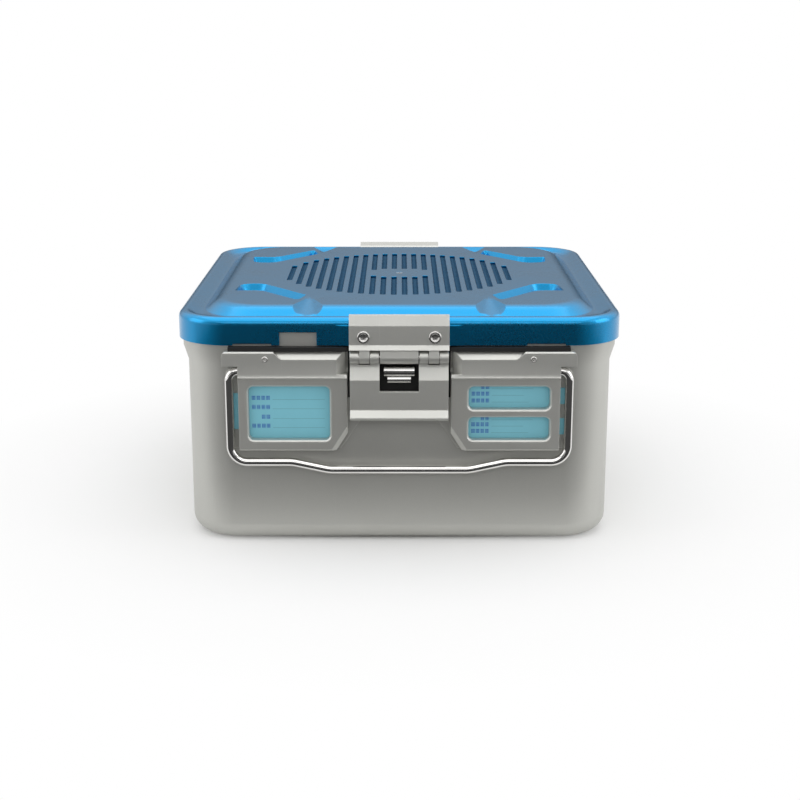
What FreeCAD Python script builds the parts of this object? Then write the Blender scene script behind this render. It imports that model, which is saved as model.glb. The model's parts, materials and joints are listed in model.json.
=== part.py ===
import FreeCAD, Part
import math
import os

# Rigid sterilization container: drawn tub, drawn lid with a vented top, and on the front and the back
# a hinged latch, a wire handle and two label holders. Millimetres, +Z up, origin at the middle of the
# base, front towards -Y. The back is the front turned half round about Z.

Vector = FreeCAD.Vector

# Overall sizes, over the lid
WIDTH = 280.0
DEPTH = 285.0
RIM_HEIGHT = 147.0
CORNER_R = 34.0

# Lid sheet and its pressed forms, as distances in from the skirt and down from the rim's crest
LID_SHEET = 1.5
SKIRT_DROP = 17.3
CREST_R = 4.5
CREST_WIDTH = 6.0
CHANNEL_DROP = 3.5
CHANNEL_WALL_RUN = 6.0
CHANNEL_FLOOR = 2.5
FIELD_RISE = 3.3
FIELD_SLOPE_RUN = 9.0
FIELD_EDGE_R = 13.0
FIELD_CORNER_R = 30.0
PAD_HALF = 34.0
PAD_BLEND = 5.0
PAD_STAND = 1.0

# Embossed diagonal grooves of the field: distances in from the lid's side and from its front, and radius
GROOVE_DEPTH = 4.2
GROOVE_WALL_RUN = 2.2
GROOVE_CORNERS = (
    (79.5, 59.0, 2.5),
    (47.7, 100.5, 10.0),
    (33.0, 98.5, 8.0),
    (31.0, 74.5, 1.4),
    (48.1, 75.5, 10.0),
    (74.8, 41.3, 2.5),
)

# Scallop in the field's slope at the foot of each groove
SCALLOP_X_IN = 82.4
SCALLOP_TOP_IN = 51.0
SCALLOP_TOP_R = 2.5
SCALLOP_AXIS_RISE = 11.0
SCALLOP_SPREAD = 21.0

# Vent slots, which end on an oval
VENT_PITCH = 7.18
VENT_WIDTH = 3.7
VENT_COLUMNS = 22
VENT_REACH_X = 80.5
VENT_REACH_Y = 83.0
VENT_SPLIT_COLUMNS = 6
VENT_LAND_HALF = 16.0
VENT_LAND_STEP = 4.5

# Openings in the skirt
SKIRT_NOTCH_LEFT = -74.0
SKIRT_NOTCH_WIDTH = 23.0
SKIRT_NOTCH_RISE = 8.3
RELIEF_NEAR = 79.0
RELIEF_WIDTH = 24.0
RELIEF_RISE = 1.1

# Tub
TUB_WALL = 2.0
TUB_INSET = 5.0
TUB_BOTTOM_R = 12.0
FLARE_TOP_DROP = 22.5
FLARE_RISE = 10.0
COLLAR_GAP = 0.7
RIM_LIP = 4.6
BASE_PANEL_INSET = 26.0
BASE_PANEL_RISE = 1.0
BASE_PANEL_RUN = 4.0

# Gasket
GASKET_WIDTH = 4.1
GASKET_HEIGHT = 2.1
GASKET_GAP = 0.1

# Side plate
PLATE_T = 1.2
PLATE_REACH = 8.0
PLATE_NOTCH_HALF = 24.0
PLATE_NOTCH_RISE = 18.6
PLATE_NOTCH_RUN = 12.5
PLATE_CORNER_R = 4.0
PLATE_NOTCH_R = 1.5

# Label holder, as distances out from the tub wall and down from the rim's crest
HOLDER_TOP_DROP = 20.6
HOLDER_HEIGHT = 63.6
HOLDER_INNER = 32.2
HOLDER_SIDE_MARGIN = 35.0
CAP_INNER = 33.3
WING_REACH = 9.8
CAP_HEIGHT = 14.2
CAP_FACE = 8.9
FRAME_FACE = 8.1
RIDGE_FACE = 9.9
RIDGE_HEIGHT = 3.2
RIDGE_UNDERSIDE = 0.9
EDGE_BEVEL = 0.8
WING_CORNER_R = 3.0
END_BEVEL_RUN = 5.5
END_BEVEL_DEPTH = 4.8
FINGER_NOTCH_INNER = 38.3
FINGER_NOTCH_TO_SCREW = 9.6
FINGER_NOTCH_DROP = 4.8
FINGER_NOTCH_DEPTH = 4.0
FINGER_NOTCH_SLANT = 4.6
FINGER_NOTCH_R = 6.0
FRAME_CHAMFER_RUN = 7.0
FRAME_CHAMFER_RISE = 11.0
CHAMFER_BEVEL_RUN = 3.0
CHAMFER_BEVEL_DEPTH = 2.4
WINDOW_OUTER_MARGIN = 6.2
WINDOW_INNER_MARGIN = 11.0
WINDOW_SILL = 6.9
WINDOW_HEIGHT = 34.5
WINDOW_R = 3.2
WINDOW_BAR = 5.0
WINDOW_BEVEL = 1.0

# Label cards
CARD_T = 0.7
CARD_LAP = 2.2
CARD_WEB = 1.0
CARD_TAIL = 4.5
CARD_PLAY = 0.2
CARD_TAB_MARGIN = 4.0
CARD_WIDE_TAB_MARGIN = 7.5
CARD_CORNER_R = 1.5

# Wire handle
WIRE_R = 2.75
WIRE_OUT = 5.35
LEG_REACH = 5.7
PIVOT_DROP = 33.3
PIVOT_PLAY = 0.07
PIVOT_ENGAGE = 6.0
SHOULDER_R = 6.2
HANDLE_CORNER_R = 10.4
HANDLE_SIDE_RUN_DROP = 58.9
HANDLE_GRIP_DIP = 5.0
HANDLE_GRIP_HALF = 44.0
HANDLE_DIP_RUN = 23.0
HANDLE_DIP_R = 24.0
WING_CLEARANCE = 0.7

# Latch: bracket on the lid, hinge and flap
LATCH_HALF = 30.8
BRACKET_LIP_RISE = 1.2
BRACKET_LIP_REACH = 4.6
BRACKET_LIP_FALL = 0.7
BRACKET_FOLD_RISE = 2.7
BRACKET_FOLD_OUT = 8.0
BRACKET_FACE = 10.5
BRACKET_SLOPE_DROP = 3.9
BRACKET_FACE_END_DROP = 15.9
BRACKET_FLARE = 12.5
BRACKET_END_DROP = 18.9
BRACKET_EDGE_T = 0.6
HINGE_DROP = 23.9
HINGE_OUT = 8.7
BARREL_R = 4.1
PIN_R = 1.25
PIN_PLAY = 0.05
PIN_FIT = 0.01
KNUCKLE_GAP = 0.7
CENTRE_KNUCKLE_HALF = 11.8
FLAP_INNER_KNUCKLE_END = 17.9
BRACKET_KNUCKLE_END = 24.9
FLAP_SHEET = 2.5
FLAP_HALF = 30.4
FLAP_NECK_OUT = 9.6
FLAP_NECK_DROP = 30.4
FLAP_FACE_OUT = 12.7
FLAP_FACE_DROP = 37.6
FLAP_FACE_HEIGHT = 19.0
FLAP_LIP_OUT = 16.4
FLAP_LIP_HEIGHT = 4.7
FLAP_LIP_R = 1.1
WINDOW_SILL_DROP = 44.8
LATCH_WINDOW_HALF = 11.8
BRACKET_RIVET_X = 22.0
BRACKET_RIVET_DROP = 10.9
BRACKET_RIVET_R = 3.9

# Catch behind the latch's window
CATCH_ROLL_R = 3.4
CATCH_ROLL_HALF = 9.4
CATCH_ROLL_DROP = 33.1
CATCH_LOOP_HALF = 7.2
CATCH_LOOP_R = 2.2
CATCH_STRIP = 0.9
CATCH_CLEARANCE = 0.4
HOUSING_SIDE_GAP = 0.3
HOUSING_FOOT_DROP = 51.0
HOUSING_OUT = 2.2
TRIM_HEIGHT = 2.6
TRIM_OUT = 7.4
TRIM_CENTRE_OUT = 3.9

# Fasteners of the plates
SCREW_INSET = 17.1
SCREW_DROP = 25.2
SCREW_HEAD_R = 1.9
SCREW_HEAD_T = 0.6
SCREW_SHANK_R = 1.1
PLATE_RIVET_X = 20.0
PLATE_RIVET_DROP = 55.0
PLATE_RIVET_R = 2.6
RIVET_SHANK_R = 1.6
RIVET_HEAD_T = 0.9

# Filter, its retainer and the post that carries it
POST_R = 4.0
POST_PLAY = 0.08
POST_LENGTH = 12.0
POST_HEAD_R = 2.6
POST_HEAD_SUNK = 0.1
POST_HEAD_DEPTH = 1.0
POST_DIMPLE_R = 1.2
POST_DIMPLE = 0.4
POST_NECK_R = 1.5
FILTER_R = 90.0
FILTER_T = 0.45
FILTER_GAP = 0.1
RETAINER_R = 93.0
RETAINER_SHEET = 1.2
RETAINER_RIM = 4.4
RETAINER_HUB_R = 9.0
RETAINER_SLOTS = 20
RETAINER_SLOT_WIDTH = 5.0
RETAINER_SLOT_RINGS = ((22.0, 50.0), (57.0, 84.0))

# Worked out from the sizes above
LID_HX = WIDTH / 2
LID_HY = DEPTH / 2
TUB_HX = LID_HX - TUB_INSET
TUB_HY = LID_HY - TUB_INSET
TUB_CORNER_R = CORNER_R - TUB_INSET / 2
SKIRT_Z = RIM_HEIGHT - SKIRT_DROP
CHANNEL_Z = RIM_HEIGHT - CHANNEL_DROP
FIELD_Z = RIM_HEIGHT + FIELD_RISE
FIELD_FOOT_INSET = CREST_WIDTH + CHANNEL_WALL_RUN + CHANNEL_FLOOR
FIELD_TOP_INSET = FIELD_FOOT_INSET + FIELD_SLOPE_RUN
FLARE_TOP_Z = RIM_HEIGHT - FLARE_TOP_DROP
FLARE_FOOT_Z = FLARE_TOP_Z - FLARE_RISE
FLARE_OUT = TUB_INSET - LID_SHEET - COLLAR_GAP
COLLAR_HX = TUB_HX + FLARE_OUT
COLLAR_HY = TUB_HY + FLARE_OUT
COLLAR_R = TUB_CORNER_R + FLARE_OUT / 2
GASKET_TOP_Z = RIM_HEIGHT - LID_SHEET - GASKET_GAP
GASKET_Z = GASKET_TOP_Z - GASKET_HEIGHT
TUB_TOP_Z = GASKET_Z - GASKET_GAP
HOLDER_TOP_Z = RIM_HEIGHT - HOLDER_TOP_DROP
HOLDER_Z = HOLDER_TOP_Z - HOLDER_HEIGHT
RIDGE_TOP_Z = HOLDER_TOP_Z - CAP_HEIGHT
HOLDER_OUTER = TUB_HX - HOLDER_SIDE_MARGIN
CAP_OUTER = HOLDER_OUTER + WING_REACH
PLATE_HALF = HOLDER_OUTER + PLATE_REACH
LEG_X = HOLDER_OUTER + LEG_REACH
SCREW_X = HOLDER_OUTER - SCREW_INSET
PIVOT_Z = RIM_HEIGHT - PIVOT_DROP
WING_Z = PIVOT_Z + WIRE_R + WING_CLEARANCE
HINGE_Z = RIM_HEIGHT - HINGE_DROP
CARD_BACK = PLATE_T + CARD_PLAY
CARD_FRONT = CARD_BACK + CARD_T
POCKET_FRONT = CARD_FRONT + CARD_PLAY
WINDOW_OUTER = HOLDER_OUTER - WINDOW_OUTER_MARGIN
WINDOW_INNER = HOLDER_INNER + WINDOW_INNER_MARGIN
WINDOW_Z = HOLDER_Z + WINDOW_SILL
ROLL_OUT = FLAP_FACE_OUT - FLAP_SHEET - CATCH_CLEARANCE - CATCH_ROLL_R
ROLL_Z = RIM_HEIGHT - CATCH_ROLL_DROP
HOUSING_HALF = HOLDER_INNER - HOUSING_SIDE_GAP
TRIM_TOP_Z = HOLDER_TOP_Z + TRIM_HEIGHT
TRIM_CENTRE_Z = ROLL_Z + CATCH_ROLL_R + CATCH_CLEARANCE * 3
LID_UNDER_Z = FIELD_Z - LID_SHEET
FILTER_TOP_Z = LID_UNDER_Z - FILTER_GAP
RETAINER_TOP_Z = FILTER_TOP_Z - FILTER_T - FILTER_GAP
BEYOND = 5.0


def unit(vector):
    """The vector's direction, with length one."""
    return vector * (1.0 / vector.Length)


def round_corner(before, corner, after, radius):
    """Start, middle and end of the arc that rounds a corner and is tangent to both sides."""
    towards_before = unit(before - corner)
    towards_after = unit(after - corner)
    half_angle = towards_before.getAngle(towards_after) / 2
    reach = radius / math.tan(half_angle)
    bisector = unit(towards_before + towards_after)
    centre = corner + bisector * (radius / math.sin(half_angle))
    return (corner + towards_before * reach, centre - bisector * radius, corner + towards_after * reach)


def rounded_wire(points, radii, to_space, closed=True):
    """Wire through 2D points, with a tangent arc of its own radius at each corner."""
    flat = [Vector(a, b, 0) for a, b in points]
    count = len(flat)
    stretches = []
    for i, corner in enumerate(flat):
        at_end = not closed and i in (0, count - 1)
        if at_end or radii[i] <= 0:
            stretches.append((corner,))
        else:
            stretches.append(round_corner(flat[i - 1], corner, flat[(i + 1) % count], radii[i]))
    edges = []
    for i, stretch in enumerate(stretches):
        if closed or i > 0:
            start = stretches[i - 1][-1]
            if (stretch[0] - start).Length > 1e-6:
                edges.append(Part.LineSegment(to_space(start), to_space(stretch[0])).toShape())
        if len(stretch) == 3:
            edges.append(Part.Arc(*[to_space(p) for p in stretch]).toShape())
    return Part.Wire(edges)


def level(z):
    """Places a 2D point of a plan view at height z."""
    return lambda p: Vector(p.x, p.y, z)


def section_at(x):
    """Places a point given as distance out from the tub's front wall and height."""
    return lambda p: Vector(x, -(TUB_HY + p.x), p.y)


def front_at(out):
    """Places a point given as x and height in the plane that lies out from the tub's front wall."""
    return lambda p: Vector(p.x, -(TUB_HY + out), p.y)


def plan_rectangle(half_x, half_y, radius, z):
    """Closed wire of a rounded rectangle about the Z axis."""
    corners = [(-half_x, -half_y), (half_x, -half_y), (half_x, half_y), (-half_x, half_y)]
    return rounded_wire(corners, [radius] * 4, level(z))


def plan_prism(half_x, half_y, radius, low, high):
    """Upright solid on a rounded rectangle."""
    face = Part.Face(plan_rectangle(half_x, half_y, radius, low))
    return face.extrude(Vector(0, 0, high - low))


def plan_loft(low, high):
    """Solid between two rounded rectangles, each given as half x, half y, radius and height."""
    return Part.makeLoft([plan_rectangle(*low), plan_rectangle(*high)], True, True)


def section_prism(points, x_low, x_high, radii=None):
    """Bar along X whose section is given as distances out from the wall and heights."""
    wire = rounded_wire(points, radii or [0] * len(points), section_at(x_low))
    return Part.Face(wire).extrude(Vector(x_high - x_low, 0, 0))


def front_prism(points, out_low, out_high, radii=None):
    """Plate parallel to the front wall, with its outline given as x and height."""
    wire = rounded_wire(points, radii or [0] * len(points), front_at(out_low))
    return Part.Face(wire).extrude(Vector(0, out_low - out_high, 0))


def rectangle_points(x_low, x_high, z_low, z_high):
    """Corners of a rectangle seen from the front."""
    return [(x_low, z_low), (x_high, z_low), (x_high, z_high), (x_low, z_high)]


def peg(x, z, out_low, out_high, radius):
    """Round peg that points out of the front wall."""
    return Part.makeCylinder(radius, out_high - out_low, Vector(x, -(TUB_HY + out_low), z), Vector(0, -1, 0))


def rod(out, z, x_low, x_high, radius):
    """Round rod along X in front of the wall."""
    return Part.makeCylinder(radius, x_high - x_low, Vector(x_low, -(TUB_HY + out), z), Vector(1, 0, 0))


def edges_at_height(shape, z):
    """Edges of the shape that lie wholly at height z."""
    return [e for e in shape.Edges if abs(e.BoundBox.ZMin - z) < 1e-4 and abs(e.BoundBox.ZMax - z) < 1e-4]


def mirrored(shape):
    """The shape's mirror image left to right."""
    return shape.mirror(Vector(0, 0, 0), Vector(1, 0, 0))


def turned_to_back(shape):
    """The shape turned half round about Z."""
    copy = shape.copy()
    copy.rotate(Vector(0, 0, 0), Vector(0, 0, 1), 180)
    return copy


def offset_polygon(points, distance):
    """Polygon whose sides are moved inwards by distance, for corners listed anticlockwise."""
    count = len(points)
    moved = []
    for i in range(count):
        start, end = Vector(*points[i], 0), Vector(*points[(i + 1) % count], 0)
        along = unit(end - start)
        inwards = Vector(-along.y, along.x, 0) * distance
        moved.append((start + inwards, along))
    result = []
    for i in range(count):
        origin_a, along_a = moved[i - 1]
        origin_b, along_b = moved[i]
        gap = origin_b - origin_a
        cross = along_a.x * along_b.y - along_a.y * along_b.x
        step = (gap.x * along_b.y - gap.y * along_b.x) / cross
        result.append((origin_a.x + along_a.x * step, origin_a.y + along_a.y * step))
    return result


def tub_form(inset, floor, top):
    """Solid inside the tub's wall surface moved in by inset, from floor to top."""
    base = plan_prism(TUB_HX - inset, TUB_HY - inset, TUB_CORNER_R - inset, floor, FLARE_FOOT_Z)
    base = base.makeFillet(TUB_BOTTOM_R - inset, edges_at_height(base, floor))
    foot = (TUB_HX - inset, TUB_HY - inset, TUB_CORNER_R - inset, FLARE_FOOT_Z)
    head = (COLLAR_HX - inset, COLLAR_HY - inset, COLLAR_R - inset, FLARE_TOP_Z)
    collar = plan_prism(COLLAR_HX - inset, COLLAR_HY - inset, COLLAR_R - inset, FLARE_TOP_Z, top)
    return base.fuse([plan_loft(foot, head), collar]).removeSplitter()


def base_panel(inset, low):
    """Raised panel in the tub's floor, from low up by its rise."""
    half_x = TUB_HX - BASE_PANEL_INSET - inset
    half_y = TUB_HY - BASE_PANEL_INSET - inset
    foot = (half_x, half_y, TUB_CORNER_R, low)
    head = (half_x - BASE_PANEL_RUN, half_y - BASE_PANEL_RUN, TUB_CORNER_R - BASE_PANEL_RUN, low + BASE_PANEL_RISE)
    return plan_loft(foot, head)


def tub_shell():
    """Deep-drawn tub: flared collar under the lid, lip turned inwards for the gasket, panelled floor."""
    lip_z = TUB_TOP_Z - TUB_WALL
    mouth = plan_prism(COLLAR_HX - RIM_LIP, COLLAR_HY - RIM_LIP, COLLAR_R - RIM_LIP, lip_z - 1, TUB_TOP_Z + 1)
    shell = tub_form(0, 0, TUB_TOP_Z).cut(tub_form(TUB_WALL, TUB_WALL, lip_z)).cut(mouth)
    shell = shell.fuse(base_panel(0, TUB_WALL)).cut(base_panel(0, 0))
    holes = plate_fastener_holes()
    return shell.cut(holes + [turned_to_back(hole) for hole in holes])


def plate_fastener_holes():
    """Cutters for the front wall's screws and rivets."""
    holes = []
    for side in (-1, 1):
        holes.append(peg(side * SCREW_X, RIM_HEIGHT - SCREW_DROP, -BEYOND, BEYOND, SCREW_SHANK_R))
        holes.append(peg(side * PLATE_RIVET_X, RIM_HEIGHT - PLATE_RIVET_DROP, -BEYOND, BEYOND, RIVET_SHANK_R))
    return holes


def slope_shift(run, rise, inset):
    """How far a sloped wall moves sideways when its surface is moved in by inset."""
    return inset * math.hypot(run, rise) / rise


def lid_form(inset):
    """Solid under the lid's outer surface moved in by inset, with its channel and raised field."""
    low = SKIRT_Z - (BEYOND if inset else 0)
    rim = plan_prism(LID_HX - inset, LID_HY - inset, CORNER_R - inset, low, RIM_HEIGHT - inset)
    rim = rim.makeFillet(CREST_R - inset, edges_at_height(rim, RIM_HEIGHT - inset))
    rim = rim.fuse([pad_form(inset, low), turned_to_back(pad_form(inset, low))])
    shift = slope_shift(CHANNEL_WALL_RUN, CHANNEL_DROP, inset)
    per_height = CHANNEL_WALL_RUN / CHANNEL_DROP
    above = CREST_WIDTH - shift - per_height
    below = CREST_WIDTH - shift + per_height * (CHANNEL_DROP + inset)
    tray = plan_loft(
        (LID_HX - below, LID_HY - below, CORNER_R - below, CHANNEL_Z - inset),
        (LID_HX - above, LID_HY - above, CORNER_R - above, RIM_HEIGHT + 1),
    )
    return rim.cut(tray).fuse(field_form(inset)).removeSplitter()


def field_form(inset):
    """Raised middle of the lid, with a rounded upper edge."""
    rise = FIELD_Z - CHANNEL_Z
    shift = slope_shift(FIELD_SLOPE_RUN, rise, inset)
    per_height = FIELD_SLOPE_RUN / rise
    foot_inset = FIELD_FOOT_INSET + shift - per_height * inset
    top_inset = FIELD_TOP_INSET + shift - per_height * inset
    foot_r = FIELD_CORNER_R + FIELD_SLOPE_RUN
    field = plan_loft(
        (LID_HX - foot_inset, LID_HY - foot_inset, foot_r, CHANNEL_Z - inset),
        (LID_HX - top_inset, LID_HY - top_inset, FIELD_CORNER_R, FIELD_Z - inset),
    )
    return field.makeFillet(FIELD_EDGE_R - inset, edges_at_height(field, FIELD_Z - inset))


def pad_form(inset, low):
    """Flat pad that stands out of the front skirt, behind the latch's bracket."""
    top = RIM_HEIGHT - CREST_R
    wide = PAD_HALF + PAD_BLEND - inset
    narrow = PAD_HALF - inset
    rear = -(LID_HY - CORNER_R)
    front = -(LID_HY - inset)
    proud = front - PAD_STAND
    corners = [(-wide, rear), (-wide, front), (-narrow, proud), (narrow, proud), (wide, front), (wide, rear)]
    block = Part.Face(rounded_wire(corners, [0] * 6, level(low))).extrude(Vector(0, 0, top - low))
    return block


def groove_polygon():
    """Corners of one groove's upper outline, for positive x and y, anticlockwise, each with its radius."""
    return [(LID_HX - side_in, LID_HY - front_in, radius) for side_in, front_in, radius in GROOVE_CORNERS]


def turns(points):
    """For each corner of a polygon, 1 where it bulges outwards and -1 where it is drawn in."""
    signs = []
    for i, (x, y) in enumerate(points):
        before, after = points[i - 1], points[(i + 1) % len(points)]
        cross = (x - before[0]) * (after[1] - y) - (y - before[1]) * (after[0] - x)
        signs.append(1 if cross > 0 else -1)
    return signs


def groove_tool(inset):
    """Cutter for one embossed groove, its surface moved down and out by inset."""
    depth = GROOVE_DEPTH + inset
    per_depth = GROOVE_WALL_RUN / GROOVE_DEPTH
    shift = slope_shift(GROOVE_WALL_RUN, GROOVE_DEPTH, inset)
    polygon = groove_polygon()
    outline = [(x, y) for x, y, _ in polygon]
    wires = []
    for run, z in ((-shift - per_depth, FIELD_Z + 1), (per_depth * depth - shift, FIELD_Z - depth)):
        radii = [max(0.2, corner[2] - run * turn) for corner, turn in zip(polygon, turns(outline))]
        wires.append(rounded_wire(offset_polygon(outline, run), radii, level(z)))
    return Part.makeLoft(wires, True, True)


def scallop_tool(inset):
    """Cone that opens forwards through the field's slope, its surface moved out by inset."""
    spread, rise = math.radians(SCALLOP_SPREAD), math.radians(SCALLOP_AXIS_RISE)
    foot_y = LID_HY - FIELD_FOOT_INSET + 1
    top_y = LID_HY - SCALLOP_TOP_IN
    length = (foot_y - top_y) / math.cos(rise) + BEYOND * 2
    base = Vector(LID_HX - SCALLOP_X_IN, top_y, FIELD_Z + SCALLOP_TOP_R * math.cos(rise))
    narrow = SCALLOP_TOP_R + inset / math.cos(spread)
    cone = Part.makeCone(narrow, narrow + length * math.tan(spread), length, base,
                         Vector(0, math.cos(rise), math.sin(rise)))
    reach = Part.makeBox(LID_HX * 2, foot_y, RIM_HEIGHT, Vector(-LID_HX, 0, CHANNEL_Z - inset))
    return cone.common(reach)


def groove_tools(inset):
    """Cutters for the four grooves and their scallops, mirrored about both middle planes."""
    tools = [groove_tool(inset), scallop_tool(inset)]
    tools += [mirrored(tool) for tool in tools]
    return tools + [turned_to_back(tool) for tool in tools]


def vent_slots():
    """Cutters for the field's slots: columns across x that end on an oval, the middle ones split."""
    slots = []
    middle = (VENT_COLUMNS - 1) / 2
    for column in range(VENT_COLUMNS):
        x = (column - middle) * VENT_PITCH
        end = VENT_REACH_Y * math.sqrt(1 - (x / VENT_REACH_X) ** 2)
        from_middle = abs(column - middle)
        land = VENT_LAND_HALF - (VENT_LAND_STEP if from_middle > VENT_SPLIT_COLUMNS / 2 - 1 else 0)
        split = from_middle < VENT_SPLIT_COLUMNS / 2
        spans = [(-end, -land), (land, end)] if split else [(-end, end)]
        for low, high in spans:
            corners = [
                (x - VENT_WIDTH / 2, low),
                (x + VENT_WIDTH / 2, low),
                (x + VENT_WIDTH / 2, high),
                (x - VENT_WIDTH / 2, high),
            ]
            wire = rounded_wire(corners, [VENT_WIDTH * 0.3] * 4, level(LID_UNDER_Z - 1))
            slots.append(Part.Face(wire).extrude(Vector(0, 0, LID_SHEET + 2)))
    return slots


def skirt_cutters():
    """Notch in the front skirt and the shallow reliefs in the lower edge, front and back."""
    through = LID_SHEET + PAD_STAND + 1
    y_front = -(LID_HY + PAD_STAND)
    left = SKIRT_NOTCH_LEFT
    notch = Part.makeBox(SKIRT_NOTCH_WIDTH, through + 1, SKIRT_NOTCH_RISE + 1,
                         Vector(left, y_front - 1, SKIRT_Z - 1))
    cutters = [notch]
    for x in (-RELIEF_NEAR - RELIEF_WIDTH, RELIEF_NEAR):
        relief = Part.makeBox(RELIEF_WIDTH, through + 1, RELIEF_RISE + 1, Vector(x, y_front - 1, SKIRT_Z - 1))
        cutters += [relief, turned_to_back(relief)]
    return cutters


def lid_shell():
    """Drawn lid: skirt, crest, channel, raised vented field and four embossed grooves."""
    outer = lid_form(0).cut(groove_tools(0))
    inner = lid_form(LID_SHEET).cut(groove_tools(LID_SHEET))
    shell = outer.cut(inner)
    post_hole = Part.makeCylinder(POST_NECK_R + PIN_FIT, LID_SHEET + 2, Vector(0, 0, LID_UNDER_Z - 1))
    post_hole = post_hole.fuse(post_head(PIN_FIT, 0))
    holes = [rivet_hole(side) for side in (-1, 1)]
    holes += [turned_to_back(hole) for hole in holes]
    return shell.cut(vent_slots() + skirt_cutters() + holes + [post_hole])


def lid_gasket():
    """Seal ring under the crest, above the tub's lip."""
    outer_inset = LID_SHEET + COLLAR_GAP - GASKET_GAP
    inner_inset = outer_inset + GASKET_WIDTH
    corner = CORNER_R - outer_inset
    ring = plan_prism(LID_HX - outer_inset, LID_HY - outer_inset, corner, GASKET_Z, GASKET_TOP_Z)
    ring = ring.makeFillet(GASKET_HEIGHT * 0.99, edges_at_height(ring, GASKET_TOP_Z))
    lean = GASKET_HEIGHT * 0.6
    bore = plan_prism(
        LID_HX - inner_inset, LID_HY - inner_inset, corner - GASKET_WIDTH, GASKET_Z - 1, GASKET_TOP_Z + 1)
    bevel = plan_loft(
        (LID_HX - inner_inset, LID_HY - inner_inset, corner - GASKET_WIDTH, GASKET_TOP_Z - lean),
        (LID_HX - inner_inset + lean, LID_HY - inner_inset + lean, corner - GASKET_WIDTH + lean, GASKET_TOP_Z),
    )
    return ring.cut([bore, bevel])


def side_plate():
    """Thin plate on the tub's front wall that carries the holders, with a notch under the latch."""
    foot, top = HOLDER_Z, FLARE_FOOT_Z
    corners = [
        (PLATE_HALF, foot),
        (PLATE_HALF, top),
        (-PLATE_HALF, top),
        (-PLATE_HALF, foot),
        (-PLATE_NOTCH_HALF - PLATE_NOTCH_RUN, foot),
        (-PLATE_NOTCH_HALF, foot + PLATE_NOTCH_RISE),
        (PLATE_NOTCH_HALF, foot + PLATE_NOTCH_RISE),
        (PLATE_NOTCH_HALF + PLATE_NOTCH_RUN, foot),
    ]
    radii = [PLATE_CORNER_R] * 4 + [0, PLATE_NOTCH_R, PLATE_NOTCH_R, 0]
    return front_prism(corners, 0, PLATE_T, radii).cut(plate_fastener_holes())


def holder_section():
    """Section of the label holder, from its foot up the face to the cap and down the tub's flare."""
    flare_out = FLARE_OUT + PLATE_T
    return [
        (PLATE_T, HOLDER_Z),
        (FRAME_FACE - EDGE_BEVEL, HOLDER_Z),
        (FRAME_FACE, HOLDER_Z + EDGE_BEVEL),
        (FRAME_FACE, RIDGE_TOP_Z - RIDGE_HEIGHT),
        (RIDGE_FACE, RIDGE_TOP_Z - RIDGE_HEIGHT + RIDGE_UNDERSIDE),
        (CAP_FACE, RIDGE_TOP_Z),
        (CAP_FACE, HOLDER_TOP_Z - EDGE_BEVEL),
        (CAP_FACE - EDGE_BEVEL, HOLDER_TOP_Z),
        (flare_out, HOLDER_TOP_Z),
        (flare_out, FLARE_TOP_Z),
        (PLATE_T, FLARE_FOOT_Z),
    ]


def window_bands(split):
    """Heights of the holder's windows: one tall one, or two low ones with a bar between."""
    if not split:
        return [(WINDOW_Z, WINDOW_Z + WINDOW_HEIGHT)]
    low = (WINDOW_HEIGHT - WINDOW_BAR) / 2
    return [(WINDOW_Z, WINDOW_Z + low), (WINDOW_Z + WINDOW_HEIGHT - low, WINDOW_Z + WINDOW_HEIGHT)]


def card_band(band):
    """Heights between which a card lies behind its window."""
    low, high = band
    lap = min(CARD_LAP, (WINDOW_BAR - CARD_WEB) / 2 - CARD_PLAY)
    return (low - lap, high + lap)


def window_cutter(low, high):
    """Cutter for one window with a bevelled rim."""
    hole = front_prism(rectangle_points(WINDOW_INNER, WINDOW_OUTER, low, high), CARD_BACK, FRAME_FACE + 1,
                       [WINDOW_R] * 4)
    wires = []
    for grow, out in ((0, FRAME_FACE - WINDOW_BEVEL), (WINDOW_BEVEL, FRAME_FACE)):
        points = rectangle_points(WINDOW_INNER - grow, WINDOW_OUTER + grow, low - grow, high + grow)
        wires.append(rounded_wire(points, [WINDOW_R + grow] * 4, front_at(out)))
    return hole.fuse(Part.makeLoft(wires, True, True))


def finger_notch():
    """Sloping scoop in the cap's upper edge."""
    inner, outer = FINGER_NOTCH_INNER, SCREW_X - FINGER_NOTCH_TO_SCREW
    low = HOLDER_TOP_Z - FINGER_NOTCH_DROP
    spread = FINGER_NOTCH_SLANT * (1 + 1 / FINGER_NOTCH_DROP)
    beyond_top = HOLDER_TOP_Z + 1
    outline = [(inner, low), (outer, low), (outer + spread, beyond_top), (inner - spread, beyond_top)]
    region = front_prism(outline, 0, CAP_FACE + 1, [0, FINGER_NOTCH_R, 0, 0])
    per_out = FINGER_NOTCH_DROP / FINGER_NOTCH_DEPTH
    wedge = [
        (CAP_FACE - FINGER_NOTCH_DEPTH, HOLDER_TOP_Z),
        (CAP_FACE + 1, low - per_out),
        (CAP_FACE + 1, HOLDER_TOP_Z + 1),
        (CAP_FACE - FINGER_NOTCH_DEPTH, HOLDER_TOP_Z + 1),
    ]
    return region.common(section_prism(wedge, inner - spread - 1, outer + spread + 1))


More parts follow.
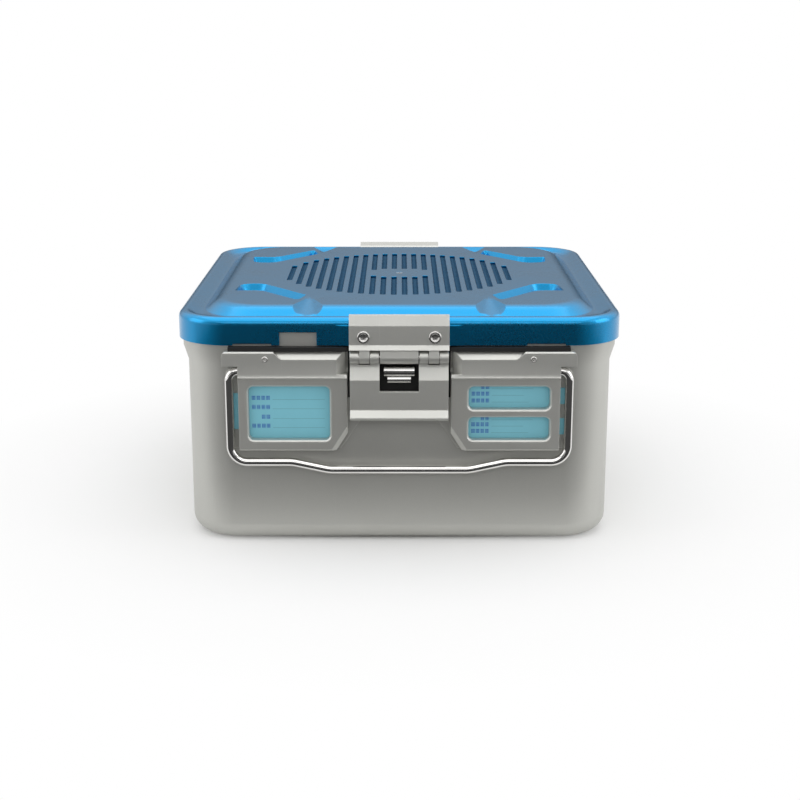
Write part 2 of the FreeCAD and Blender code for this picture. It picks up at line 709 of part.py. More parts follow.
def label_holder(split):
    """Right-hand label holder: cap with a wing over the handle's pivot, and a framed window below."""
    body = section_prism(holder_section(), HOLDER_INNER, CAP_OUTER)
    below_wing = front_prism(rectangle_points(HOLDER_OUTER, CAP_OUTER + 1, HOLDER_Z - 1, WING_Z),
                             0, RIDGE_FACE + 1)
    cap_end = front_prism(rectangle_points(HOLDER_INNER - 1, CAP_INNER, RIDGE_TOP_Z, HOLDER_TOP_Z + 1),
                          0, RIDGE_FACE + 1)
    wing_corner = front_prism(
        rectangle_points(CAP_OUTER - WING_CORNER_R, CAP_OUTER + 1, HOLDER_TOP_Z - WING_CORNER_R, HOLDER_TOP_Z + 1),
        0, RIDGE_FACE + 1)
    wing_round = peg(CAP_OUTER - WING_CORNER_R, HOLDER_TOP_Z - WING_CORNER_R, 0, RIDGE_FACE + 1, WING_CORNER_R)
    corner = front_prism(
        [(HOLDER_INNER - 1, HOLDER_Z - 1), (HOLDER_INNER + FRAME_CHAMFER_RUN, HOLDER_Z - 1),
         (HOLDER_INNER + FRAME_CHAMFER_RUN, HOLDER_Z), (HOLDER_INNER, HOLDER_Z + FRAME_CHAMFER_RISE),
         (HOLDER_INNER - 1, HOLDER_Z + FRAME_CHAMFER_RISE)],
        0, RIDGE_FACE + 1)
    cutters = [below_wing, cap_end, wing_corner.cut(wing_round), corner]
    cutters += [chamfer_bevel(), end_bevel(), finger_notch()]
    cutters.append(rod(WIRE_OUT, PIVOT_Z, HOLDER_OUTER - PIVOT_ENGAGE - 1, HOLDER_OUTER + 1, WIRE_R + PIVOT_PLAY))
    cutters.append(peg(SCREW_X, RIM_HEIGHT - SCREW_DROP, 0, CAP_FACE + 1, SCREW_SHANK_R))
    for band in window_bands(split):
        cutters.append(window_cutter(*band))
        cutters.append(card_pocket(card_band(band)))
    return body.cut(cutters)


def chamfer_bevel():
    """Wedge that slopes the holder's face down towards its cut-off lower corner."""
    start = Vector(HOLDER_INNER, 0, HOLDER_Z + FRAME_CHAMFER_RISE)
    end = Vector(HOLDER_INNER + FRAME_CHAMFER_RUN, 0, HOLDER_Z)
    along = unit(end - start)
    inwards = Vector(-along.z, 0, along.x)
    slope = CHAMFER_BEVEL_DEPTH / CHAMFER_BEVEL_RUN
    corners = []
    for run, out in ((-1, -CHAMFER_BEVEL_DEPTH - slope), (-1, 1), (CHAMFER_BEVEL_RUN + 1 / slope, 1)):
        across = inwards * run + Vector(0, -(TUB_HY + FRAME_FACE + out), 0)
        corners.append(start - along * BEYOND * 2 + across)
    wire = Part.makePolygon(corners + corners[:1])
    return Part.Face(wire).extrude(along * ((end - start).Length + BEYOND * 4))


def end_bevel():
    """Wedge off the cap's inner end, towards the latch."""
    x_face = CAP_INNER + END_BEVEL_RUN
    reach = CAP_FACE + 1
    per_out = END_BEVEL_RUN / END_BEVEL_DEPTH
    corners = [
        (CAP_INNER - 1, -(TUB_HY + CAP_FACE - END_BEVEL_DEPTH - 1 / per_out)),
        (CAP_INNER - 1, -(TUB_HY + reach)),
        (x_face + per_out, -(TUB_HY + reach)),
    ]
    wire = rounded_wire(corners, [0] * 3, level(RIDGE_TOP_Z))
    return Part.Face(wire).extrude(Vector(0, 0, HOLDER_TOP_Z + 1 - RIDGE_TOP_Z))


def card_pocket(band):
    """Slot behind a window that takes the card and opens at the holder's outer side."""
    low, high = band
    inner = WINDOW_INNER - CARD_LAP - CARD_PLAY
    points = rectangle_points(inner, CAP_OUTER + 1, low - CARD_PLAY, high + CARD_PLAY)
    return front_prism(points, PLATE_T - 0.01, POCKET_FRONT)


def label_card(band, tab_margin):
    """Card behind a right-hand window, with a narrower tab that reaches out behind the handle's leg."""
    low, high = card_band(band)
    inner = WINDOW_INNER - CARD_LAP
    outer = HOLDER_OUTER - 1.0
    tab = outer + CARD_TAIL + 1.0
    corners = [
        (inner, low), (outer, low), (outer, low + tab_margin), (tab, low + tab_margin),
        (tab, high - tab_margin), (outer, high - tab_margin), (outer, high), (inner, high),
    ]
    rounded = CARD_CORNER_R
    radii = [rounded, rounded, 0, rounded, rounded, 0, rounded, rounded]
    return front_prism(corners, CARD_BACK, CARD_FRONT, radii)


def wire_handle():
    """Wire bail: ends that pivot in the holders, legs, side runs and a grip run that dips."""
    side_z = PIVOT_Z - HANDLE_SIDE_RUN_DROP
    grip_z = side_z - HANDLE_GRIP_DIP
    half = [
        (HANDLE_GRIP_HALF, grip_z),
        (HANDLE_GRIP_HALF + HANDLE_DIP_RUN, side_z),
        (LEG_X, side_z),
        (LEG_X, PIVOT_Z),
        (HOLDER_OUTER - PIVOT_ENGAGE, PIVOT_Z),
    ]
    half_radii = [HANDLE_DIP_R, HANDLE_DIP_R, HANDLE_CORNER_R, SHOULDER_R, 0]
    points = [(-x, z) for x, z in reversed(half)] + half
    radii = list(reversed(half_radii)) + half_radii
    path = rounded_wire(points, radii, front_at(WIRE_OUT), closed=False)
    end = Vector(-(HOLDER_OUTER - PIVOT_ENGAGE), -(TUB_HY + WIRE_OUT), PIVOT_Z)
    circle = Part.Wire(Part.makeCircle(WIRE_R, end, Vector(-1, 0, 0)))
    return path.makePipeShell([circle], True, False)


def bracket_section():
    """Section of the latch's bracket: lip over the crest, fold, slope, face and flared lower edge."""
    inside = TUB_INSET + PAD_STAND
    crest_inner = TUB_INSET - CREST_WIDTH
    foot = HINGE_Z + BARREL_R + KNUCKLE_GAP
    return [
        (crest_inner, CHANNEL_Z),
        (-BRACKET_LIP_REACH, CHANNEL_Z + BRACKET_LIP_RISE),
        (-BRACKET_LIP_REACH, RIM_HEIGHT - BRACKET_LIP_FALL),
        (crest_inner, RIM_HEIGHT + BRACKET_LIP_RISE),
        (BRACKET_FOLD_OUT, RIM_HEIGHT + BRACKET_FOLD_RISE),
        (BRACKET_FACE, RIM_HEIGHT - BRACKET_SLOPE_DROP),
        (BRACKET_FACE, RIM_HEIGHT - BRACKET_FACE_END_DROP),
        (BRACKET_FLARE, RIM_HEIGHT - BRACKET_END_DROP),
        (BRACKET_FLARE - BRACKET_EDGE_T, foot),
        (inside, foot),
        (inside, RIM_HEIGHT - CREST_R * 2),
    ]


def rivet_hole(side):
    """Cutter for one rivet of the bracket."""
    return peg(side * BRACKET_RIVET_X, RIM_HEIGHT - BRACKET_RIVET_DROP, 0, BRACKET_FACE + 1, RIVET_SHANK_R)


def latch_bracket():
    """Bracket riveted to the lid's skirt, with three hinge eyes under it."""
    body = section_prism(bracket_section(), -LATCH_HALF, LATCH_HALF).cut(lid_form(0))
    half_gap = KNUCKLE_GAP / 2
    spans = [(-CENTRE_KNUCKLE_HALF, CENTRE_KNUCKLE_HALF)]
    for side in (-1, 1):
        low, high = FLAP_INNER_KNUCKLE_END + half_gap, BRACKET_KNUCKLE_END - half_gap
        spans.append((low, high) if side > 0 else (-high, -low))
    for low, high in spans:
        web = [
            (HINGE_OUT - BARREL_R, HINGE_Z),
            (HINGE_OUT + BARREL_R, HINGE_Z),
            (HINGE_OUT + BARREL_R - EDGE_BEVEL, HINGE_Z + BARREL_R + KNUCKLE_GAP + 0.1),
            (HINGE_OUT - BARREL_R + EDGE_BEVEL, HINGE_Z + BARREL_R + KNUCKLE_GAP + 0.1),
        ]
        body = body.fuse(section_prism(web, low, high)).fuse(rod(HINGE_OUT, HINGE_Z, low, high, BARREL_R))
    bore = rod(HINGE_OUT, HINGE_Z, -LATCH_HALF - 1, LATCH_HALF + 1, PIN_R + PIN_FIT)
    return body.cut([bore, rivet_hole(-1), rivet_hole(1)])


def hinge_pin():
    """Pin of the latch's hinge."""
    return rod(HINGE_OUT, HINGE_Z, -FLAP_HALF + 0.5, FLAP_HALF - 0.5, PIN_R)


def flap_section():
    """Section of the flap: neck under the barrel, flared band, face and finger lip."""
    neck_z = RIM_HEIGHT - FLAP_NECK_DROP
    face_z = RIM_HEIGHT - FLAP_FACE_DROP
    lip_z = face_z - FLAP_FACE_HEIGHT
    end_z = lip_z - FLAP_LIP_HEIGHT
    bevel_shift = FLAP_SHEET * 0.22
    return [
        (FLAP_NECK_OUT, HINGE_Z),
        (FLAP_NECK_OUT, neck_z),
        (FLAP_FACE_OUT, face_z),
        (FLAP_FACE_OUT, lip_z),
        (FLAP_LIP_OUT, end_z),
        (FLAP_LIP_OUT - FLAP_SHEET * 0.72, end_z - FLAP_SHEET * 0.72),
        (FLAP_FACE_OUT - FLAP_SHEET, lip_z - bevel_shift),
        (FLAP_FACE_OUT - FLAP_SHEET, face_z - bevel_shift),
        (FLAP_NECK_OUT - FLAP_SHEET, neck_z - bevel_shift),
        (FLAP_NECK_OUT - FLAP_SHEET, HINGE_Z),
    ]


def latch_flap():
    """Hinged flap with a window for the catch and a lip for the finger."""
    radii = [0, 0, 1.0, 1.0, FLAP_LIP_R, FLAP_LIP_R, 0, 0, 0, 0]
    plate = section_prism(flap_section(), -FLAP_HALF, FLAP_HALF, radii)
    half_gap = KNUCKLE_GAP / 2
    window_top = HINGE_Z + BARREL_R + 1
    sill_z = RIM_HEIGHT - WINDOW_SILL_DROP
    window = front_prism(rectangle_points(-LATCH_WINDOW_HALF - half_gap, LATCH_WINDOW_HALF + half_gap,
                                          sill_z, window_top), 0, BRACKET_FLARE + BEYOND)
    cutters = [window]
    eyes = []
    for side in (-1, 1):
        low, high = FLAP_INNER_KNUCKLE_END, BRACKET_KNUCKLE_END
        gap_x = (low, high) if side > 0 else (-high, -low)
        cutters.append(rod(HINGE_OUT, HINGE_Z, gap_x[0], gap_x[1], BARREL_R + KNUCKLE_GAP))
        cutters.append(front_prism(rectangle_points(gap_x[0], gap_x[1], HINGE_Z, window_top),
                                   0, BRACKET_FLARE + BEYOND))
        for eye_low, eye_high in ((CENTRE_KNUCKLE_HALF + half_gap * 2, low), (high, FLAP_HALF)):
            span = (eye_low, eye_high) if side > 0 else (-eye_high, -eye_low)
            eyes.append(rod(HINGE_OUT, HINGE_Z, span[0], span[1], BARREL_R))
    flap = plate.cut(cutters).fuse(eyes)
    return flap.cut(rod(HINGE_OUT, HINGE_Z, -LATCH_HALF - 1, LATCH_HALF + 1, PIN_R + PIN_PLAY))


def tubular_rivet(x, z, face, rear, head_r):
    """Rivet with a dished head at face and a flat tail behind rear."""
    head = peg(x, z, face, face + RIVET_HEAD_T, head_r)
    head = head.makeFillet(RIVET_HEAD_T * 0.6, [outermost_edge(head)])
    dish = peg(x, z, face + RIVET_HEAD_T * 0.3, face + RIVET_HEAD_T + 1, head_r * 0.55)
    shank = peg(x, z, rear, face, RIVET_SHANK_R - PIN_FIT)
    tail = peg(x, z, rear - RIVET_HEAD_T * 0.8, rear, head_r * 0.7)
    return head.cut(dish).fuse([shank, tail])


def outermost_edge(shape):
    """The edge that lies furthest out from the front wall."""
    return min(shape.Edges, key=lambda e: e.BoundBox.YMax)


def bracket_rivets():
    """Two rivets that hold the bracket to the skirt."""
    rear = TUB_INSET + PAD_STAND - LID_SHEET
    z = RIM_HEIGHT - BRACKET_RIVET_DROP
    return Part.makeCompound([tubular_rivet(side * BRACKET_RIVET_X, z, BRACKET_FACE, rear, BRACKET_RIVET_R)
                              for side in (-1, 1)])


def plate_rivets():
    """Rivets of the side plate and screws of the holders, all through the tub's wall."""
    solids = []
    screw_z = RIM_HEIGHT - SCREW_DROP
    climb = (screw_z + PLATE_RIVET_R - FLARE_FOOT_Z) / FLARE_RISE * FLARE_OUT
    rear = min(0, climb - FLARE_OUT - TUB_WALL) - TUB_WALL * 0.4
    for side in (-1, 1):
        head = peg(side * SCREW_X, screw_z, CAP_FACE, CAP_FACE + SCREW_HEAD_T, SCREW_HEAD_R)
        head = head.makeFillet(SCREW_HEAD_T * 0.7, [outermost_edge(head)])
        shank = peg(side * SCREW_X, screw_z, rear, CAP_FACE, SCREW_SHANK_R - PIN_FIT)
        tail = peg(side * SCREW_X, screw_z, rear - RIVET_HEAD_T, rear, SCREW_HEAD_R)
        solids.append(head.fuse([shank, tail]))
        rivet_z = RIM_HEIGHT - PLATE_RIVET_DROP
        solids.append(tubular_rivet(side * PLATE_RIVET_X, rivet_z, PLATE_T, -TUB_WALL, PLATE_RIVET_R))
    return Part.makeCompound(solids)


def catch_housing():
    """Dark moulding: the catch's seat between the holders, and a trim strip along their upper edges."""
    foot = RIM_HEIGHT - HOUSING_FOOT_DROP
    seat = front_prism(rectangle_points(-HOUSING_HALF, HOUSING_HALF, foot, HOLDER_TOP_Z),
                       PLATE_T, HOUSING_OUT)
    trim_half = CAP_OUTER - WING_CORNER_R - 1
    strip = front_prism(rectangle_points(-trim_half, trim_half, HOLDER_TOP_Z, TRIM_TOP_Z), 0, TRIM_OUT)
    centre = front_prism(rectangle_points(-HOUSING_HALF, HOUSING_HALF, TRIM_CENTRE_Z, TRIM_TOP_Z),
                         0, TRIM_CENTRE_OUT)
    recess = front_prism(rectangle_points(-HOUSING_HALF, HOUSING_HALF, HOLDER_TOP_Z - 1, TRIM_TOP_Z + 1),
                         TRIM_CENTRE_OUT, TRIM_OUT + 1)
    flare = section_prism(
        [(-1, FLARE_FOOT_Z), (0, FLARE_FOOT_Z), (FLARE_OUT, FLARE_TOP_Z), (FLARE_OUT, TRIM_TOP_Z + 1),
         (-1, TRIM_TOP_Z + 1)],
        -trim_half - 1, trim_half + 1)
    return seat.fuse([strip, centre]).cut([recess, flare]).removeSplitter()


def folded_strip(out_high, low, high, half):
    """Strip that runs out from the seat, folds round in front and runs back, as a bar along X."""
    bend = (high - low) * 0.49
    inner_bend = bend - CATCH_STRIP
    corners = [
        (HOUSING_OUT, low),
        (out_high, low),
        (out_high, high),
        (HOUSING_OUT, high),
        (HOUSING_OUT, high - CATCH_STRIP),
        (out_high - CATCH_STRIP, high - CATCH_STRIP),
        (out_high - CATCH_STRIP, low + CATCH_STRIP),
        (HOUSING_OUT, low + CATCH_STRIP),
    ]
    return section_prism(corners, -half, half, [0, bend, bend, 0, 0, inner_bend, inner_bend, 0])


def catch_spring():
    """Stainless catch: a wide rolled edge, and a narrower loop under it."""
    front = ROLL_OUT + CATCH_ROLL_R
    under_z = ROLL_Z - CATCH_ROLL_R
    roll = folded_strip(front, under_z, ROLL_Z + CATCH_ROLL_R, CATCH_ROLL_HALF)
    loop_top = under_z + CATCH_STRIP / 2
    loop = folded_strip(front - CATCH_STRIP / 2, loop_top - CATCH_LOOP_R * 2, loop_top, CATCH_LOOP_HALF)
    return roll.fuse(loop)


def post_head(gap, sunk):
    """Countersunk head of the post, or with a gap the seat for it."""
    depth = POST_HEAD_DEPTH - sunk
    spread = (POST_HEAD_R - POST_NECK_R) * depth / POST_HEAD_DEPTH
    foot = Vector(0, 0, FIELD_Z - POST_HEAD_DEPTH)
    return Part.makeCone(POST_NECK_R + gap, POST_NECK_R + gap + spread, depth, foot)


def filter_post():
    """Post riveted through the middle of the lid, with a countersunk head that lies just under its surface."""
    post = Part.makeCylinder(POST_R, POST_LENGTH, Vector(0, 0, LID_UNDER_Z - POST_LENGTH))
    post = post.makeChamfer(0.8, edges_at_height(post, LID_UNDER_Z - POST_LENGTH))
    neck = Part.makeCylinder(POST_NECK_R, LID_SHEET - POST_HEAD_DEPTH, Vector(0, 0, LID_UNDER_Z))
    dimple_z = FIELD_Z - POST_HEAD_SUNK - POST_DIMPLE
    dimple = Part.makeCylinder(POST_DIMPLE_R, POST_DIMPLE + 1, Vector(0, 0, dimple_z))
    return post.fuse([neck, post_head(0, POST_HEAD_SUNK)]).cut(dimple)


def filter_sheet():
    """Round filter that covers the vents from below."""
    disc = Part.makeCylinder(FILTER_R, FILTER_T, Vector(0, 0, FILTER_TOP_Z - FILTER_T))
    hole = Part.makeCylinder(POST_R + POST_PLAY * 2, FILTER_T + 2, Vector(0, 0, FILTER_TOP_Z - FILTER_T - 1))
    return disc.cut(hole)


def filter_retainer():
    """Dished plate that presses the filter to the lid, with slots and a hub on the post."""
    low = RETAINER_TOP_Z - RETAINER_RIM
    dish = Part.makeCylinder(RETAINER_R, RETAINER_RIM, Vector(0, 0, low))
    dish = dish.makeFillet(RETAINER_RIM * 0.4, edges_at_height(dish, low))
    hollow = Part.makeCylinder(RETAINER_R - RETAINER_SHEET, RETAINER_RIM, Vector(0, 0, low + RETAINER_SHEET))
    hollow = hollow.makeFillet(RETAINER_RIM * 0.2, edges_at_height(hollow, low + RETAINER_SHEET))
    hub = Part.makeCylinder(RETAINER_HUB_R, RETAINER_RIM + 2, Vector(0, 0, low - 2))
    bore = Part.makeCylinder(POST_R + POST_PLAY, RETAINER_RIM + 4, Vector(0, 0, low - 3))
    cutters = [bore]
    for ring, (inner, outer) in enumerate(RETAINER_SLOT_RINGS):
        for i in range(RETAINER_SLOTS):
            box = Part.makeBox(outer - inner, RETAINER_SLOT_WIDTH, RETAINER_SHEET + 2,
                               Vector(inner, -RETAINER_SLOT_WIDTH / 2, low - 1))
            box.rotate(Vector(0, 0, 0), Vector(0, 0, 1), (i + ring / 2) * 360 / RETAINER_SLOTS)
            cutters.append(box)
    return dish.cut(hollow).fuse(hub).cut(cutters)


def front_pieces():
    """Every piece of the front side, by name."""
    tall = window_bands(False)[0]
    lower, upper = window_bands(True)
    return {
        "side_plate": side_plate(),
        "label_holder_left": mirrored(label_holder(False)),
        "label_holder_right": label_holder(True),
        "label_card_left": mirrored(label_card(tall, CARD_WIDE_TAB_MARGIN)),
        "label_card_right_lower": label_card(lower, CARD_TAB_MARGIN),
        "label_card_right_upper": label_card(upper, CARD_TAB_MARGIN),
        "plate_rivets": plate_rivets(),
        "catch_housing": catch_housing(),
        "catch_spring": catch_spring(),
        "wire_handle": wire_handle(),
        "latch_bracket": latch_bracket(),
        "bracket_rivets": bracket_rivets(),
        "hinge_pin": hinge_pin(),
        "latch_flap": latch_flap(),
    }


def all_pieces():
    """Every piece of the container, by name."""
    pieces = {
        "tub_shell": tub_shell(),
        "lid_shell": lid_shell(),
        "lid_gasket": lid_gasket(),
        "filter_post": filter_post(),
        "filter_sheet": filter_sheet(),
        "filter_retainer": filter_retainer(),
    }
    for name, shape in front_pieces().items():
        pieces["front_" + name] = shape
        pieces["back_" + name] = turned_to_back(shape)
    return pieces


os.makedirs("parts", exist_ok=True)
for name, shape in all_pieces().items():
    if not shape.isValid():
        print("not valid:", name)
    box = shape.BoundBox
    print(f"{name}: {len(shape.Solids)} solids, {shape.Volume:.0f} mm3, "
          f"x {box.XMin:.1f} to {box.XMax:.1f}, y {box.YMin:.1f} to {box.YMax:.1f}, "
          f"z {box.ZMin:.1f} to {box.ZMax:.1f}")
    shape.exportStep("parts/" + name + ".step")
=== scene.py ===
"""Looks of a half-size rigid sterilization container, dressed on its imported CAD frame.

The CAD solids carry the shapes of the drawn tub, the lid, the plates and the latches. This file gives them
their finishes and adds what is finer than the solids: the drawn wire of the handles, the upset heads of the
rivets, the socket screws and the printing on the cards. Lengths are in metres, +Z is up and the front looks
along -Y.
"""
import json
import logging
import math
from dataclasses import dataclass, field
from enum import Enum

import bmesh
import bpy
import numpy as np
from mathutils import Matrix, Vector


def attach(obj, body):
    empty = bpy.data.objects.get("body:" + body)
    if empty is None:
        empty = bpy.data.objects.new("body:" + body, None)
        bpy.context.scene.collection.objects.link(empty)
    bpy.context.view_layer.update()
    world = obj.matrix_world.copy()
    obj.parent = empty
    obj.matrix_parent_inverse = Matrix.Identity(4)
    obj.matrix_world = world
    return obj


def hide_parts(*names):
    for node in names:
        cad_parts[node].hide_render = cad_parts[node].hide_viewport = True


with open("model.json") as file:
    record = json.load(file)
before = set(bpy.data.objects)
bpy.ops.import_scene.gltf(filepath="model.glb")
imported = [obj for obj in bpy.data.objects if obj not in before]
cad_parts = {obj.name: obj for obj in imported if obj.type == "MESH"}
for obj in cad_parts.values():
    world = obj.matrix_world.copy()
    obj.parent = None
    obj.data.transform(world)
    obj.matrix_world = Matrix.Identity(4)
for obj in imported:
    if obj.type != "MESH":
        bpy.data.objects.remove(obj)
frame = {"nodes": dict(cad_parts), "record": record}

LOG = logging.getLogger("container")
MM = 0.001
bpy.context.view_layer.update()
SHARP_ANGLE = math.radians(40)

Colour = tuple[float, float, float]
Place = tuple[float, float, float]
Range = tuple[float, float]
Points = np.ndarray
Node = bpy.types.Node
Socket = bpy.types.NodeSocket


class Side(Enum):
    """The two sides that carry a latch, a handle and the label holders."""

    FRONT = "front"
    BACK = "back"

    def place(self, points: Points) -> Points:
        """Turns points made for the front half round about Z where this is the back.

        Args:
            points: Array of shape (n, 3), in the row frame.

        Returns:
            The points on this side.
        """
        return points if self is Side.FRONT else points * np.array([-1.0, -1.0, 1.0])


def srgb(red: int, green: int, blue: int) -> Colour:
    """Linear colour of an eight-bit display colour.

    Args:
        red: Red from 0 to 255.
        green: Green from 0 to 255.
        blue: Blue from 0 to 255.

    Returns:
        The three linear channels.
    """
    channels = [c / 255 for c in (red, green, blue)]
    return tuple(c / 12.92 if c <= 0.04045 else ((c + 0.055) / 1.055) ** 2.4 for c in channels)


def shaded(colour: Colour, share: float, lift: float = 0.0) -> Colour:
    """Colour times a share, with the same amount added to each channel."""
    return tuple(min(1.0, channel * share + lift) for channel in colour)


class NodeSheet:
    """Short way to write one node tree."""

    def __init__(self, tree: bpy.types.NodeTree) -> None:
        """Keeps the tree that the calls below add to."""
        self.tree = tree

    def add(self, kind: str, **settings: object) -> Node:
        """Adds a node.

        Args:
            kind: Blender's class name without the ShaderNode prefix, or a group input's or output's whole name.
            settings: Node properties to set.

        Returns:
            The new node.
        """
        name = kind if kind.startswith("NodeGroup") else "ShaderNode" + kind
        node = self.tree.nodes.new(name)
        for key, value in settings.items():
            setattr(node, key, value)
        return node

    def feed(self, socket: Socket, value: object) -> None:
        """Sets a socket to a plain value, or links it to another socket.

        Args:
            socket: The input.
            value: A number, a colour, a vector or an output socket.
        """
        if isinstance(value, bpy.types.NodeSocket):
            self.tree.links.new(value, socket)
        elif isinstance(value, tuple) and len(value) == 3 and socket.type == "RGBA":
            socket.default_value = (*value, 1.0)
        else:
            socket.default_value = value

    def math(self, operation: str, first: object, second: object = 0.0, third: object = 0.0) -> Socket:
        """Result of a Math node, with its inputs as numbers or sockets."""
        node = self.add("Math", operation=operation)
        for socket, value in zip(node.inputs, (first, second, third)):
            self.feed(socket, value)
        return node.outputs[0]

    def noise(self, vector: object, scale: object, detail: float = 2.0, roughness: float = 0.5) -> Socket:
        """Smooth noise from 0 to 1 at a number of cells to the metre."""
        node = self.add("TexNoise")
        self.feed(node.inputs["Vector"], vector)
        self.feed(node.inputs["Scale"], scale)
        self.feed(node.inputs["Detail"], detail)
        self.feed(node.inputs["Roughness"], roughness)
        return node.outputs["Fac"]

    def ramp(self, value: object, low: float, high: float, start: float = 0.0, end: float = 1.0) -> Socket:
        """Value carried from the range low to high onto start to end, held at both ends."""
        node = self.add("MapRange", clamp=True)
        for socket, item in zip(node.inputs, (value, low, high, start, end)):
            self.feed(socket, item)
        return node.outputs["Result"]

    def mix(self, factor: object, first: object, second: object) -> Socket:
        """Colour between two colours."""
        node = self.add("Mix", data_type="RGBA")
        self.feed(node.inputs[0], factor)
        self.feed(node.inputs[6], first)
        self.feed(node.inputs[7], second)
        return node.outputs[2]

    def position(self) -> Socket:
        """Object coordinates, which are row-frame metres on every piece."""
        return self.add("TexCoord").outputs["Object"]

    def stretched(self, scale: tuple[float, float, float], turn: float = 0.0) -> Socket:
        """Object coordinates multiplied axis by axis, after a turn about Z in radians."""
        node = self.add("Mapping")
        self.feed(node.inputs["Vector"], self.position())
        node.inputs["Scale"].default_value = scale
        node.inputs["Rotation"].default_value = (0.0, 0.0, turn)
        return node.outputs["Vector"]

    def bump(self, height: object, strength: float, distance: float, normal: Socket | None = None) -> Socket:
        """Normal bent by a height in metres times distance."""
        node = self.add("Bump")
        self.feed(node.inputs["Strength"], strength)
        self.feed(node.inputs["Distance"], distance)
        self.feed(node.inputs["Height"], height)
        if normal is not None:
            self.feed(node.inputs["Normal"], normal)
        return node.outputs["Normal"]


class EffectGroup:
    """A node group that several finishes share, built once."""

    name = "effect"
    inputs: tuple[tuple[str, str, float], ...] = ()
    outputs: tuple[tuple[str, str], ...] = ()

    def group(self) -> bpy.types.NodeTree:
        """The group's tree, made at the first call."""
        tree = bpy.data.node_groups.get(self.name)
        if tree is None:
            tree = bpy.data.node_groups.new(self.name, "ShaderNodeTree")
            for label, kind, default in self.inputs:
                socket = tree.interface.new_socket(label, in_out="INPUT", socket_type=kind)
                socket.default_value = default
            for label, kind in self.outputs:
                tree.interface.new_socket(label, in_out="OUTPUT", socket_type=kind)
            sheet = NodeSheet(tree)
            self.fill(sheet, sheet.add("NodeGroupInput"), sheet.add("NodeGroupOutput"))
        return tree

    def fill(self, sheet: NodeSheet, source: Node, sink: Node) -> None:
        """Puts the effect's nodes between the group's inputs and outputs."""
        raise NotImplementedError

    def place(self, sheet: NodeSheet, **values: float) -> Node:
        """Puts the group into a material with its own values.

        Args:
            sheet: The material's sheet.
            values: Input values, with underscores for the spaces of their names.

        Returns:
            The group node.
        """
        node = sheet.add("Group")
        node.node_tree = self.group()
        for key, value in values.items():
            sheet.feed(node.inputs[key.replace("_", " ")], value)
        return node


class BlastedGrain(EffectGroup):
    """Fine pits of bead-blasted and anodised metal: two layers of noise, added as height and as a mask."""

    name = "blasted grain"
    inputs = (("Scale", "NodeSocketFloat", 2600.0), ("Coarse", "NodeSocketFloat", 0.35))
    outputs = (("Height", "NodeSocketFloat"), ("Mask", "NodeSocketFloat"))
    coarse_step = 0.23
    mask_range: Range = (0.45, 0.85)

    def fill(self, sheet: NodeSheet, source: Node, sink: Node) -> None:
        """Adds fine noise to a share of noise four times as coarse."""
        scale = source.outputs["Scale"]
        fine = sheet.noise(sheet.position(), scale)
        coarse = sheet.noise(sheet.position(), sheet.math("MULTIPLY", scale, self.coarse_step))
        total = sheet.math("ADD", fine, sheet.math("MULTIPLY", coarse, source.outputs["Coarse"]))
        sheet.feed(sink.inputs["Height"], total)
        sheet.feed(sink.inputs["Mask"], sheet.ramp(total, *self.mask_range))


class EdgeWearAndHighlight(EffectGroup):
    """Edge mask where the rounded normal leaves the flat one; noise breaks the band up. Finishes use it for
    rubbed edges and, through a paler colour, for a painted highlight along each edge.
    """

    name = "edge wear"
    inputs = (("Radius", "NodeSocketFloat", 0.0006), ("Breakup", "NodeSocketFloat", 0.5))
    outputs = (("Mask", "NodeSocketFloat"), ("Normal", "NodeSocketVector"))
    bevel_samples = 6
    cosine_range: Range = (0.995, 0.86)
    patch_scale = 240.0
    patch_range: Range = (0.35, 0.62)

    def fill(self, sheet: NodeSheet, source: Node, sink: Node) -> None:
        """Compares the bevelled normal with the plain one and multiplies by uneven noise."""
        bevel = sheet.add("Bevel", samples=self.bevel_samples)
        sheet.feed(bevel.inputs["Radius"], source.outputs["Radius"])
        dot = sheet.add("VectorMath", operation="DOT_PRODUCT")
        sheet.feed(dot.inputs[0], bevel.outputs["Normal"])
        sheet.feed(dot.inputs[1], sheet.add("NewGeometry").outputs["Normal"])
        edge = sheet.ramp(dot.outputs["Value"], *self.cosine_range)
        patch = sheet.ramp(sheet.noise(sheet.position(), self.patch_scale, 3.0, 0.6), *self.patch_range)
        kept = sheet.math("MULTIPLY_ADD", sheet.math("SUBTRACT", patch, 1.0), source.outputs["Breakup"], 1.0)
        sheet.feed(sink.inputs["Mask"], sheet.math("MULTIPLY", edge, kept))
        sheet.feed(sink.inputs["Normal"], bevel.outputs["Normal"])


class Handling(EffectGroup):
    """Faint cloudiness of a surface that is wiped and handled: broad smears with finer blots in them."""

    name = "handling"
    inputs = (("Scale", "NodeSocketFloat", 22.0),)
    outputs = (("Mask", "NodeSocketFloat"),)
    smear_stretch = (1.0, 1.0, 0.45)
    smear_range: Range = (0.35, 0.7)
    blot_scale = 160.0
    blot_ramp = (0.2, 0.8, 0.6, 1.0)

    def fill(self, sheet: NodeSheet, source: Node, sink: Node) -> None:
        """Multiplies broad noise by finer noise."""
        broad = sheet.noise(sheet.stretched(self.smear_stretch), source.outputs["Scale"], 4.0)
        fine = sheet.noise(sheet.position(), self.blot_scale, 3.0, 0.65)
        mask = sheet.math("MULTIPLY", sheet.ramp(broad, *self.smear_range), sheet.ramp(fine, *self.blot_ramp))
        sheet.feed(sink.inputs["Mask"], mask)


